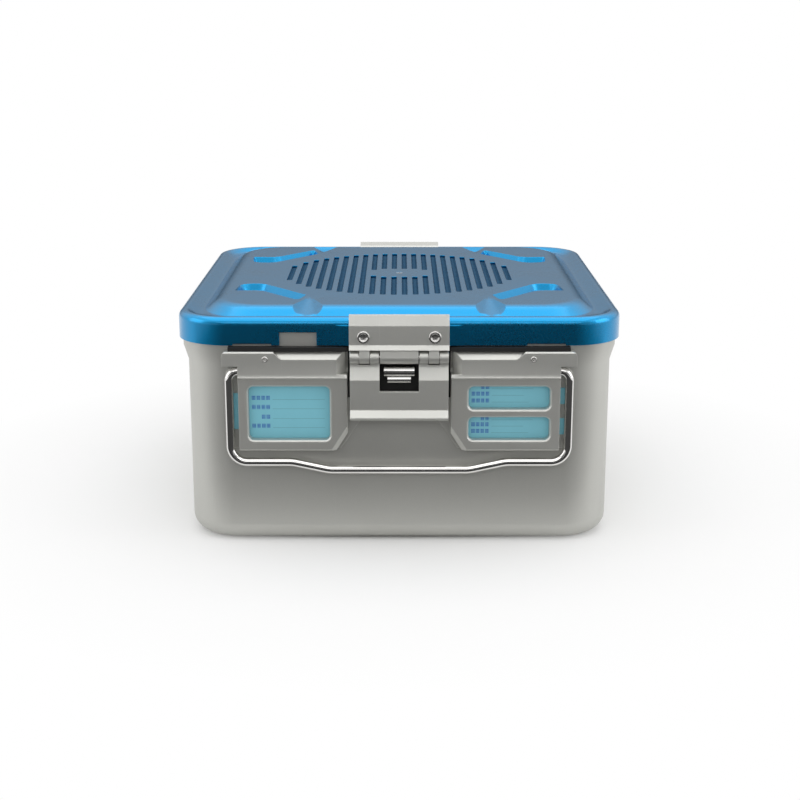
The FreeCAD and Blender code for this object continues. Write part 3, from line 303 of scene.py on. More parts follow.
class HairScratches(EffectGroup):
    """Sparse hairline scratches: long thin noise cells in three directions, cut at a high level."""

    name = "hair scratches"
    inputs = (("Amount", "NodeSocketFloat", 0.5),)
    outputs = (("Mask", "NodeSocketFloat"),)
    runs = ((0.35, (900.0, 14.0, 30.0)), (-0.9, (16.0, 1100.0, 26.0)), (1.3, (700.0, 22.0, 700.0)))
    cut_range: Range = (0.71, 0.78)

    def fill(self, sheet: NodeSheet, source: Node, sink: Node) -> None:
        """Takes the strongest of three turned layers."""
        first, second, third = (
            sheet.ramp(sheet.noise(sheet.stretched(scale, turn), 1.0, 1.0), *self.cut_range)
            for turn, scale in self.runs)
        top = sheet.math("MAXIMUM", sheet.math("MAXIMUM", first, second), third)
        sheet.feed(sink.inputs["Mask"], sheet.math("MULTIPLY", top, source.outputs["Amount"]))


GRAIN, EDGE_WEAR_AND_HIGHLIGHT, HANDLING, SCRATCHES = BlastedGrain(), EdgeWearAndHighlight(), Handling(), HairScratches()


@dataclass(frozen=True)
class Finish:
    """A surface finish, which makes its material once."""

    name: str

    def material(self) -> bpy.types.Material:
        """The finish's material, made at the first call."""
        found = bpy.data.materials.get(self.name)
        if found is None:
            found = bpy.data.materials.new(self.name)
            found.use_nodes = True
            found.node_tree.nodes.clear()
            sheet = NodeSheet(found.node_tree)
            shader = sheet.add("BsdfPrincipled")
            sheet.feed(sheet.add("OutputMaterial").inputs["Surface"], shader.outputs[0])
            self.dress(sheet, shader)
        return found

    def dress(self, sheet: NodeSheet, shader: Node) -> None:
        """Feeds the shader's sockets."""
        raise NotImplementedError


@dataclass(frozen=True)
class Anodised(Finish):
    """Blasted and anodised aluminium: grain, faint smears, hairlines and paler, smoother edges; the paler edge
    colour is partly rubbed metal and partly a painted highlight.
    """

    colour: Colour
    # paler colour at the edges: rubbed metal and a painted highlight in one
    edge: Colour
    roughness: float
    metallic: float = 0.9
    grain_scale: float = 2600.0
    grain_height: float = 0.00002
    grain_bump: float = 0.6
    pit_shade: float = 0.94
    pit_share: float = 0.35
    wear_and_highlight: float = 0.5
    edge_band_radius: float = 0.0007
    edge_band_breakup: float = 0.45
    wear_polish: float = 0.1
    coat: float = 0.0
    coat_roughness: float = 0.0
    smear: float = 0.06
    smear_dulling: float = 0.05
    grain_dulling: float = 0.04
    scratches: float = 0.25
    scratch_share: float = 0.5

    def dress(self, sheet: NodeSheet, shader: Node) -> None:
        """Base colour darkens in the pits and pales at the edges, as rubbed metal and as a painted highlight;
        roughness follows grain and smears.
        """
        grain = GRAIN.place(sheet, Scale=self.grain_scale)
        wear_and_highlight = EDGE_WEAR_AND_HIGHLIGHT.place(sheet, Radius=self.edge_band_radius, Breakup=self.edge_band_breakup)
        cloud = HANDLING.place(sheet).outputs["Mask"]
        hair = SCRATCHES.place(sheet, Amount=self.scratches).outputs["Mask"]
        tone = sheet.mix(cloud, self.colour, shaded(self.colour, 1 - self.smear))
        pits = sheet.math("MULTIPLY", grain.outputs["Mask"], self.pit_share)
        tone = sheet.mix(pits, tone, shaded(self.colour, self.pit_shade))
        # painted highlight with rubbing: the edge band pales the colour towards the edge colour
        worn_and_lit = sheet.math("MULTIPLY", wear_and_highlight.outputs["Mask"], self.wear_and_highlight)
        tone = sheet.mix(worn_and_lit, tone, self.edge)
        tone = sheet.mix(sheet.math("MULTIPLY", hair, self.scratch_share), tone, self.edge)
        sheet.feed(shader.inputs["Base Color"], tone)
        shader.inputs["Metallic"].default_value = self.metallic
        rough = sheet.math("MULTIPLY_ADD", cloud, self.smear_dulling, self.roughness)
        rough = sheet.math("MULTIPLY_ADD", grain.outputs["Mask"], self.grain_dulling, rough)
        sheet.feed(shader.inputs["Roughness"], sheet.math("MULTIPLY_ADD", worn_and_lit, -self.wear_polish, rough))
        if self.coat:
            shader.inputs["Coat Weight"].default_value = self.coat
            shader.inputs["Coat Roughness"].default_value = self.coat_roughness
        normal = sheet.bump(grain.outputs["Height"], self.grain_bump, self.grain_height, wear_and_highlight.outputs["Normal"])
        sheet.feed(shader.inputs["Normal"], normal)


@dataclass(frozen=True)
class DrawnSteel(Finish):
    """Polished or turned stainless steel: fine lines along one axis and a little haze."""

    colour: Colour
    roughness: float
    haze: float = 0.07
    lines: tuple[float, float, float] = (40.0, 2400.0, 2400.0)
    line_height: float = 0.000004
    line_bump: float = 0.4
    smear_scale: float = 60.0
    smear_shade: float = 0.9

    def dress(self, sheet: NodeSheet, shader: Node) -> None:
        """Roughness and height follow long noise cells; smears dull the polish."""
        lines = sheet.noise(sheet.stretched(self.lines), 1.0, 2.0)
        cloud = HANDLING.place(sheet, Scale=self.smear_scale).outputs["Mask"]
        dark = shaded(self.colour, self.smear_shade)
        sheet.feed(shader.inputs["Base Color"], sheet.mix(cloud, self.colour, dark))
        shader.inputs["Metallic"].default_value = 1.0
        rough = sheet.math("MULTIPLY_ADD", lines, self.haze, self.roughness)
        sheet.feed(shader.inputs["Roughness"], sheet.math("MULTIPLY_ADD", cloud, self.haze, rough))
        sheet.feed(shader.inputs["Normal"], sheet.bump(lines, self.line_bump, self.line_height))


@dataclass(frozen=True)
class MouldedPolymer(Finish):
    """Moulded plastic or silicone: fine spark-eroded texture, soft sheen and a little dust."""

    colour: Colour
    roughness: float = 0.5
    texture: float = 1500.0
    texture_coarse: float = 0.6
    texture_dulling: float = 0.12
    texture_bump: float = 0.7
    texture_height: float = 0.00003
    dust_scale: float = 45.0
    dust_shade: float = 0.85
    dust_lift: float = 0.004

    def dress(self, sheet: NodeSheet, shader: Node) -> None:
        """Colour pales a little where smears lie; the texture bends the normal."""
        grain = GRAIN.place(sheet, Scale=self.texture, Coarse=self.texture_coarse)
        cloud = HANDLING.place(sheet, Scale=self.dust_scale).outputs["Mask"]
        dusty = shaded(self.colour, self.dust_shade, self.dust_lift)
        sheet.feed(shader.inputs["Base Color"], sheet.mix(cloud, self.colour, dusty))
        rough = sheet.math("MULTIPLY_ADD", grain.outputs["Mask"], self.texture_dulling, self.roughness)
        sheet.feed(shader.inputs["Roughness"], rough)
        normal = sheet.bump(grain.outputs["Height"], self.texture_bump, self.texture_height)
        sheet.feed(shader.inputs["Normal"], normal)


@dataclass(frozen=True)
class PressedFleece(Finish):
    """Bonded filter fleece: short fibres that lie all ways, with a grid of pressed points."""

    colour: Colour
    runs: tuple[tuple[Place, float], ...] = (((1900.0, 240.0, 600.0), 0.5), ((260.0, 1700.0, 600.0), -0.7))
    fibre_range: Range = (0.45, 0.7)
    fibre_share: float = 0.4
    point_scale: float = 420.0
    point_range: Range = (0.18, 0.3)
    point_shade: float = 0.7
    pale_shade: float = 1.35
    pale_lift: float = 0.02
    roughness: float = 0.9
    specular: float = 0.1
    relief: float = 0.00012

    def dress(self, sheet: NodeSheet, shader: Node) -> None:
        """Fibres are stretched noise in two directions; pressed points are round cells on a square grid."""
        along, across = (sheet.noise(sheet.stretched(scale, turn), 1.0, 3.0) for scale, turn in self.runs)
        fibre = sheet.math("MAXIMUM", along, across)
        cells = sheet.add("TexVoronoi", feature="F1", voronoi_dimensions="2D")
        sheet.feed(cells.inputs["Vector"], sheet.position())
        cells.inputs["Scale"].default_value = self.point_scale
        cells.inputs["Randomness"].default_value = 0.0
        point = sheet.ramp(cells.outputs["Distance"], *self.point_range)
        pale = shaded(self.colour, self.pale_shade, self.pale_lift)
        tone = sheet.mix(sheet.ramp(fibre, *self.fibre_range), self.colour, pale)
        sheet.feed(shader.inputs["Base Color"], sheet.mix(point, shaded(self.colour, self.point_shade), tone))
        shader.inputs["Roughness"].default_value = self.roughness
        shader.inputs["Specular IOR Level"].default_value = self.specular
        height = sheet.math("ADD", sheet.math("MULTIPLY", fibre, self.fibre_share), point)
        sheet.feed(shader.inputs["Normal"], sheet.bump(height, 0.8, self.relief))


@dataclass(frozen=True)
class PrintedCard(Finish):
    """Glossy light-blue card with rows of plain block marks and ruled lines to write on."""

    turned: bool
    mark_x: float
    mark_end: float
    line_ends: tuple[float, ...]
    rows: tuple[float, ...]
    short_rows: tuple[int, ...]
    mark_height: float = 0.0027
    mark_soft: float = 0.0002
    marks: int = 4
    marks_left_out: int = 2
    block: Range = (0.08, 0.86)
    block_soft: float = 0.04
    dot_scale: float = 1120.0
    dot_range: Range = (0.42, 0.56)
    dot_gap: float = 0.35
    rule_drop: float = 0.42
    rule_half: float = 0.00013
    rule_soft: float = 0.00007
    rule_start: float = 0.0012
    rule_cover: float = 0.55
    rule_shade: float = 0.35
    ink_cover: float = 0.95
    shade: float = 0.9
    card: Colour = srgb(122, 190, 206)
    ink: Colour = srgb(0, 58, 168)

    def band(self, sheet: NodeSheet, value: object, low: float, high: float, soft: float) -> Socket:
        """One between low and high, with soft ends."""
        rise = sheet.ramp(value, low - soft, low + soft)
        fall = sheet.ramp(value, high - soft, high + soft, 1.0, 0.0)
        return sheet.math("MULTIPLY", rise, fall)

    def marks_and_rules(self, sheet: NodeSheet, x: Socket, z: Socket) -> tuple[Socket, Socket]:
        """Ink of the block marks and of the ruled lines, row by row.

        Args:
            sheet: The material's sheet.
            x: Distance across the card's side.
            z: Height.

        Returns:
            How much ink the marks and the lines lay.
        """
        pitch = (self.mark_end - self.mark_x) / self.marks
        ink, rule = 0.0, 0.0
        for number, row in enumerate(self.rows):
            start = self.mark_x + (pitch * self.marks_left_out if number in self.short_rows else 0.0)
            cell = sheet.math("FRACT", sheet.math("DIVIDE", sheet.math("SUBTRACT", x, start), pitch))
            block = self.band(sheet, cell, *self.block, self.block_soft)
            reach = self.band(sheet, x, start, self.mark_end, 0.0001)
            half = self.mark_height / 2
            level = self.band(sheet, z, row - half, row + half, self.mark_soft)
            ink = sheet.math("ADD", ink, sheet.math("MULTIPLY", sheet.math("MULTIPLY", block, reach), level))
            under = row - self.mark_height * self.rule_drop
            stroke = self.band(sheet, z, under - self.rule_half, under + self.rule_half, self.rule_soft)
            run = self.band(sheet, x, self.mark_end + self.rule_start, self.line_ends[number], 0.0003)
            rule = sheet.math("ADD", rule, sheet.math("MULTIPLY", stroke, run))
        return ink, rule

    def dress(self, sheet: NodeSheet, shader: Node) -> None:
        """Ink lies where a mark or a ruled line does; a grid of round cells makes the marks of dots."""
        mapping = sheet.add("Mapping")
        sheet.feed(mapping.inputs["Vector"], sheet.position())
        mapping.inputs["Rotation"].default_value = (0.0, 0.0, math.pi if self.turned else 0.0)
        parts = sheet.add("SeparateXYZ")
        sheet.feed(parts.inputs[0], mapping.outputs["Vector"])
        cells = sheet.add("TexVoronoi", feature="F1")
        cells.inputs["Randomness"].default_value = 0.0
        sheet.feed(cells.inputs["Vector"], mapping.outputs["Vector"])
        cells.inputs["Scale"].default_value = self.dot_scale
        dots = sheet.ramp(cells.outputs["Distance"], *self.dot_range, 1.0, self.dot_gap)
        ink, rule = self.marks_and_rules(sheet, parts.outputs["X"], parts.outputs["Z"])
        ink = sheet.math("MULTIPLY", ink, dots)
        pulp = sheet.noise(sheet.position(), 700.0, 4.0)
        cloud = HANDLING.place(sheet, Scale=30.0).outputs["Mask"]
        shade = shaded(self.card, self.shade)
        tone = sheet.mix(cloud, self.card, shade)
        tone = sheet.mix(sheet.ramp(pulp, 0.3, 0.8, 0.0, 0.12), tone, shade)
        ruled = shaded(self.card, self.rule_shade)
        tone = sheet.mix(sheet.math("MULTIPLY", rule, self.rule_cover), tone, ruled)
        tone = sheet.mix(sheet.math("MULTIPLY", ink, self.ink_cover), tone, self.ink)
        sheet.feed(shader.inputs["Base Color"], tone)
        sheet.feed(shader.inputs["Roughness"], sheet.math("MULTIPLY_ADD", pulp, 0.1, 0.32))
        shader.inputs["Specular IOR Level"].default_value = 0.4
        sheet.feed(shader.inputs["Normal"], sheet.bump(pulp, 0.25, 0.00002))


@dataclass(frozen=True)
class StudioPaper(Finish):
    """Seamless pale paper, which fades to plain white away from the object and keeps its shadow near it."""

    tone: float = 0.93
    near: float = 0.13
    far: float = 0.36
    fibre_scale: float = 30.0

    def dress(self, sheet: NodeSheet, shader: Node) -> None:
        """Faint fibre in a matt sheet; far from the middle, rays from camera, gloss and glass see white."""
        pulp = sheet.noise(sheet.position(), self.fibre_scale, 5.0)
        low = (self.tone * 0.99, self.tone * 0.99, self.tone * 0.985)
        sheet.feed(shader.inputs["Base Color"], sheet.mix(pulp, low, (self.tone,) * 3))
        shader.inputs["Roughness"].default_value = 0.9
        shader.inputs["Specular IOR Level"].default_value = 0.1
        reach = sheet.add("VectorMath", operation="LENGTH")
        sheet.feed(reach.inputs[0], sheet.position())
        away = sheet.ramp(reach.outputs["Value"], self.near, self.far)
        path = sheet.add("LightPath")
        seen = sheet.math("MAXIMUM", path.outputs["Is Camera Ray"], path.outputs["Is Transmission Ray"])
        seen = sheet.math("MAXIMUM", seen, path.outputs["Is Glossy Ray"])
        white = sheet.add("Emission")
        white.inputs["Strength"].default_value = 1.0
        blend = sheet.add("MixShader")
        sheet.feed(blend.inputs[0], sheet.math("MULTIPLY", away, seen))
        sheet.feed(blend.inputs[1], shader.outputs[0])
        sheet.feed(blend.inputs[2], white.outputs[0])
        output = next(node for node in sheet.tree.nodes if node.type == "OUTPUT_MATERIAL")
        sheet.feed(output.inputs["Surface"], blend.outputs[0])


@dataclass(frozen=True)
class StudioFelt(Finish):
    """Dark grey felt that a photographer lays in front of metal."""

    dark: Colour = (0.008, 0.008, 0.008)
    pale: Colour = (0.02, 0.02, 0.02)
    fibre_scale: float = 900.0

    def dress(self, sheet: NodeSheet, shader: Node) -> None:
        """Short fibres, lighter and darker."""
        fibre = sheet.noise(sheet.position(), self.fibre_scale, 4.0)
        sheet.feed(shader.inputs["Base Color"], sheet.mix(fibre, self.dark, self.pale))
        shader.inputs["Roughness"].default_value = 1.0


# The edge colours, paler than the body colours, are rubbed metal and also a painted highlight on every edge.
TUB_METAL = Anodised("silver tub", colour=srgb(194, 194, 189), edge=srgb(228, 228, 225), roughness=0.44,
                     metallic=0.75, wear_and_highlight=0.2, smear=0.03, scratches=0.1)
LID_METAL = Anodised("blue lid", colour=(0.003, 0.26, 0.54), edge=(0.03, 0.36, 0.66), roughness=0.25,
                     metallic=1.0, wear_and_highlight=0.2, coat=0.5, coat_roughness=0.12, smear=0.03,
                     grain_height=0.000006, scratches=0.05)
PLATE_METAL = Anodised("silver plates", colour=srgb(206, 206, 201), edge=srgb(232, 232, 228), roughness=0.42,
                       metallic=0.8)
RETAINER_METAL = Anodised("filter plate", colour=srgb(190, 190, 188), edge=srgb(225, 225, 222), roughness=0.4)
POLISHED_WIRE = DrawnSteel("polished wire", colour=(0.84, 0.83, 0.81), roughness=0.03, haze=0.02,
                           line_height=0.000001)
TURNED_STEEL = DrawnSteel("turned steel", colour=(0.7, 0.69, 0.67), roughness=0.18,
                          lines=(1500.0, 60.0, 1500.0))
# The seat is black plastic, and its near-black colour also paints the deep shade inside the latch window.
SEAT_BLACK_WITH_PAINTED_SHADE = MouldedPolymer("black seat", colour=(0.008, 0.008, 0.008))
GASKET_RUBBER = MouldedPolymer("grey silicone", colour=(0.16, 0.16, 0.165), roughness=0.55)
# painted shade: the fleece's dark blue is the shade under the vent slots, laid into its colour
FLEECE_WITH_PAINTED_SHADE = PressedFleece("filter fleece", colour=(0.02, 0.075, 0.14))


def add_piece(name: str, vertices: Points, faces: list[list[int]], finish: Finish,
              body: str) -> bpy.types.Object:
    """Makes a closed mesh object from arrays and lets it ride on a body.

    Args:
        name: The piece's name.
        vertices: Array of shape (n, 3) in the row frame.
        faces: Vertex numbers of each face.
        finish: The piece's finish.
        body: The body that it moves with.

    Returns:
        The new object, at the origin.
    """
    mesh = bpy.data.meshes.new(name)
    mesh.from_pydata(vertices.tolist(), [], faces)
    work = bmesh.new()
    work.from_mesh(mesh)
    bmesh.ops.recalc_face_normals(work, faces=work.faces)
    work.to_mesh(mesh)
    work.free()
    mesh.polygons.foreach_set("use_smooth", np.ones(len(mesh.polygons), bool))
    mesh.set_sharp_from_angle(angle=SHARP_ANGLE)
    mesh.materials.append(finish.material())
    piece = bpy.data.objects.new(name, mesh)
    bpy.context.scene.collection.objects.link(piece)
    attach(piece, body)
    LOG.info("piece %s: %d faces on %s", name, len(faces), body)
    return piece


def closed_skin(rings: Points) -> tuple[Points, list[list[int]]]:
    """Skin over a row of rings, closed at each end by a fan round the ring's middle.

    Args:
        rings: Array of shape (rows, columns, 3); the last column joins the first.

    Returns:
        Vertices, and the vertex numbers of each face.
    """
    rows, columns = rings.shape[:2]
    row, column = np.meshgrid(np.arange(rows - 1) * columns, np.arange(columns), indexing="ij")
    after = (column + 1) % columns
    quads = np.stack([row + column, row + after, row + columns + after, row + columns + column], axis=-1)
    edge, turned = column[0], after[0]
    last = (rows - 1) * columns
    pole = np.full(columns, rows * columns)
    fans = np.vstack([np.stack([pole, turned, edge], axis=-1),
                      np.stack([pole + 1, last + edge, last + turned], axis=-1)])
    vertices = np.vstack([rings.reshape(-1, 3), rings[0].mean(0), rings[-1].mean(0)])
    return vertices, quads.reshape(-1, 4).tolist() + fans.tolist()


def turned_rings(profile: Points, foot: Points, segments: int = 48) -> Points:
    """Rings of a surface of revolution about an axis that points out of the front wall.

    A point is the foot, plus its radius times the cosine of the turn across and the sine of the turn up,
    plus its height straight out.

    Args:
        profile: Array of shape (n, 2) of radius and height.
        foot: The axis's foot.
        segments: Points round the axis.

    Returns:
        Array of shape (n, segments, 3).
    """
    turn = np.linspace(0, 2 * np.pi, segments, endpoint=False)
    radius, height = profile[:, :1], profile[:, 1:]
    spread = np.stack([radius * np.cos(turn), -height * np.ones(segments), radius * np.sin(turn)], axis=-1)
    return foot + spread


def smooth_profile(points: Points, cuts: int = 2) -> Points:
    """Cuts the corners of an open line of points again and again, each time at a quarter of both runs.

    Args:
        points: Array of shape (n, 2).
        cuts: How many times.

    Returns:
        The rounded line, with the same two ends.
    """
    for _ in range(cuts):
        near = points[:-1] * 0.75 + points[1:] * 0.25
        far = points[:-1] * 0.25 + points[1:] * 0.75
        inner = np.stack([near, far], axis=1).reshape(-1, 2)
        points = np.vstack([points[:1], inner, points[-1:]])
    return points


RIVET_CROWN = np.array([
    (0.02, 0.22), (0.42, 0.22), (0.60, 0.70), (0.70, 1.0), (0.86, 1.0), (1.0, 0.62), (1.0, 0.1),
])
"""A rivet's head from its middle to its rim, as shares of its radius and height."""

SCREW_CROWN = np.array([
    (0.03, -1.4), (0.38, -1.1), (0.50, 0.5), (0.62, 1.0), (0.82, 0.92), (1.0, 0.4), (1.0, 0.05),
])
"""A socket screw's head from its middle to its rim, as shares of its radius and height."""


@dataclass
class Fasteners:
    """Upset rivets of the bracket, rivets of the side plate and socket screws of the holders, on one side.

    Each is one turned profile from its head's middle, over the head, down the shank and over its tail.
    """

    side: Side
    wall: float = 137.5 * MM
    rivet_x: float = 22.0 * MM
    rivet_z: float = 136.1 * MM
    rivet_face: float = 10.5 * MM
    rivet_rear: float = 4.52 * MM
    rivet_head: float = 3.9 * MM
    plate_rivet_x: float = 20.0 * MM
    plate_rivet_z: float = 92.0 * MM
    plate_rivet_face: float = 1.2 * MM
    plate_rivet_rear: float = -2.0 * MM
    plate_rivet_head: float = 2.6 * MM
    rivet_shank: float = 1.5 * MM
    head_height: float = 0.9 * MM
    screw_x: float = 82.9 * MM
    screw_z: float = 121.8 * MM
    screw_face: float = 8.9 * MM
    screw_rear: float = -2.9 * MM
    screw_head: float = 1.9 * MM
    screw_height: float = 0.6 * MM
    screw_shank: float = 1.0 * MM
    under_head: float = 0.97
    tail_radius: float = 0.7
    tail_height: float = 0.8
    tail_end: float = 0.05

    def rivet(self, x: float, z: float, face: float, rear: float, head: float) -> Points:
        """Rings of a tubular rivet: a dished middle inside a rolled ring, the shank and a flat tail."""
        high, depth = self.head_height, rear - face
        wide, end = head * self.tail_radius, depth - high * self.tail_height
        crown = smooth_profile(RIVET_CROWN * (head, high))
        tail = np.array([
            (head * self.under_head, 0.0), (self.rivet_shank, 0.0), (self.rivet_shank, depth), (wide, depth),
            (wide, end), (head * self.tail_end, end),
        ])
        return turned_rings(np.vstack([crown, tail]), np.array([x, -(self.wall + face), z]))

    def screw(self, x: float) -> Points:
        """Rings of a low round-headed screw with a deep socket."""
        head, depth = self.screw_head, self.screw_rear - self.screw_face
        end = depth - self.head_height
        crown = smooth_profile(SCREW_CROWN * (head, self.screw_height))
        tail = np.array([
            (head * self.under_head, 0.0), (self.screw_shank, 0.0), (self.screw_shank, depth), (head, depth),
            (head, end), (head * self.tail_end, end),
        ])
        foot = np.array([x, -(self.wall + self.screw_face), self.screw_z])
        return turned_rings(np.vstack([crown, tail]), foot)

    def piece(self, name: str, node: str, body: str, solids: list[Points]) -> None:
        """Joins turned solids into one piece that stands for a node.

        Args:
            name: The piece's name after the side's.
            node: The node's name after the side's.
            body: The body that it moves with.
            solids: The rings of each solid.
        """
        corners, faces, count = [], [], 0
        for rings in solids:
            vertices, numbers = closed_skin(rings)
            corners.append(vertices)
            faces += [[number + count for number in face] for face in numbers]
            count += len(vertices)
        prefix = self.side.value
        piece = add_piece(f"{prefix}_{name}", self.side.place(np.vstack(corners)), faces, TURNED_STEEL,
                          body)
        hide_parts(f"{prefix}_{node}")

    def build(self) -> None:
        """Makes the bracket's pair, and the plate's and holders' four."""
        ends = (-1, 1)
        self.piece("upset_rivets", "bracket_rivets", "lid", [
            self.rivet(end * self.rivet_x, self.rivet_z, self.rivet_face, self.rivet_rear, self.rivet_head)
            for end in ends])
        pair = [self.rivet(end * self.plate_rivet_x, self.plate_rivet_z, self.plate_rivet_face,
                           self.plate_rivet_rear, self.plate_rivet_head) for end in ends]
        screws = [self.screw(end * self.screw_x) for end in ends]
        self.piece("wall_fasteners", "plate_rivets", "tub", pair + screws)


@dataclass
class WireHandle:
    """Bent wire bail: ends in the holders' bores, legs, side runs and a grip that dips.

    The centre line is straight runs joined by tangent arcs, as distance across and height, and a circle
    is carried along it.
    """

    side: Side
    wire_radius: float = 2.75 * MM
    leg_x: float = 105.7 * MM
    pivot: Points = field(default_factory=lambda: np.array([0.0, -142.85, 113.7]) * MM)
    end_x: float = 94.0 * MM
    side_drop: float = 58.9 * MM
    grip_dip: float = 5.0 * MM
    grip_half: float = 44.0 * MM
    dip_run: float = 23.0 * MM
    shoulder_radius: float = 6.2 * MM
    corner_radius: float = 10.4 * MM
    dip_radius: float = 24.0 * MM
    ring: int = 40
    arc_steps: int = 15
    end_length: float = 0.15
    end_taper: float = 0.85

    def corners(self) -> tuple[Points, Points]:
        """The centre line's corner points and the radius at each, from the left end to the right.

        Returns:
            Array of shape (n, 2) of across and height, and array of shape (n,).
        """
        side_z = self.pivot[2] - self.side_drop
        right = np.array([
            (self.grip_half, side_z - self.grip_dip),
            (self.grip_half + self.dip_run, side_z),
            (self.leg_x, side_z),
            (self.leg_x, self.pivot[2]),
            (self.end_x, self.pivot[2]),
        ])
        radii = np.array([self.dip_radius, self.dip_radius, self.corner_radius, self.shoulder_radius, 0.0])
        return np.vstack([right[::-1] * (-1, 1), right]), np.concatenate([radii[::-1], radii])

    def centre_line(self) -> Points:
        """Points of the centre line, with each corner replaced by an arc tangent to both runs.

        The arc's centre lies on the corner's bisector, the radius over the sine of half the angle away, and
        its points turn evenly from one tangent point to the other.

        Returns:
            Array of shape (n, 2).
        """
        points, radii = self.corners()
        pieces = [points[:1]]
        for before, corner, after, radius in zip(points[:-2], points[1:-1], points[2:], radii[1:-1]):
            to_before = (before - corner) / np.linalg.norm(before - corner)
            to_after = (after - corner) / np.linalg.norm(after - corner)
            half = np.arccos(np.clip(to_before @ to_after, -1, 1)) / 2
            middle = (to_before + to_after) / np.linalg.norm(to_before + to_after)
            centre = corner + middle * radius / np.sin(half)
            first = corner + to_before * radius / np.tan(half) - centre
            last = corner + to_after * radius / np.tan(half) - centre
            swing = np.arctan2(first[0] * last[1] - first[1] * last[0], first @ last)
            turn = np.linspace(0, swing, self.arc_steps)
            pieces.append(centre + np.stack([
                first[0] * np.cos(turn) - first[1] * np.sin(turn),
                first[0] * np.sin(turn) + first[1] * np.cos(turn),
            ], axis=-1))
        pieces.append(points[-1:])
        return np.vstack(pieces)

    def build(self) -> None:
        """Carries a circle along the centre line, a little smaller at both ends where the wire is broken."""
        line = self.centre_line()
        tangent = np.gradient(line, axis=0)
        tangent /= np.linalg.norm(tangent, axis=1)[:, None]
        line = np.vstack([line[:1], line[:1] + tangent[0] * self.wire_radius * self.end_length, line[1:-1],
                          line[-1:] - tangent[-1] * self.wire_radius * self.end_length, line[-1:]])
        tangent = np.vstack([tangent[:1], tangent, tangent[-1:]])
        radius = np.full(len(line), self.wire_radius)
        radius[[0, -1]] *= self.end_taper
        sideways = np.stack([-tangent[:, 1], tangent[:, 0]], axis=-1)
        turn = np.linspace(0, 2 * np.pi, self.ring, endpoint=False)
        flat = line[:, None, :] + (radius[:, None] * np.cos(turn))[..., None] * sideways[:, None, :]
        depth = self.pivot[1] + radius[:, None] * np.sin(turn)
        vertices, faces = closed_skin(np.stack([flat[..., 0], depth, flat[..., 1]], axis=-1))
        piece = add_piece(f"{self.side.value}_drawn_wire", self.side.place(vertices), faces, POLISHED_WIRE,
                          f"handle_{self.side.value}")
        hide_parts(f"{self.side.value}_wire_handle")


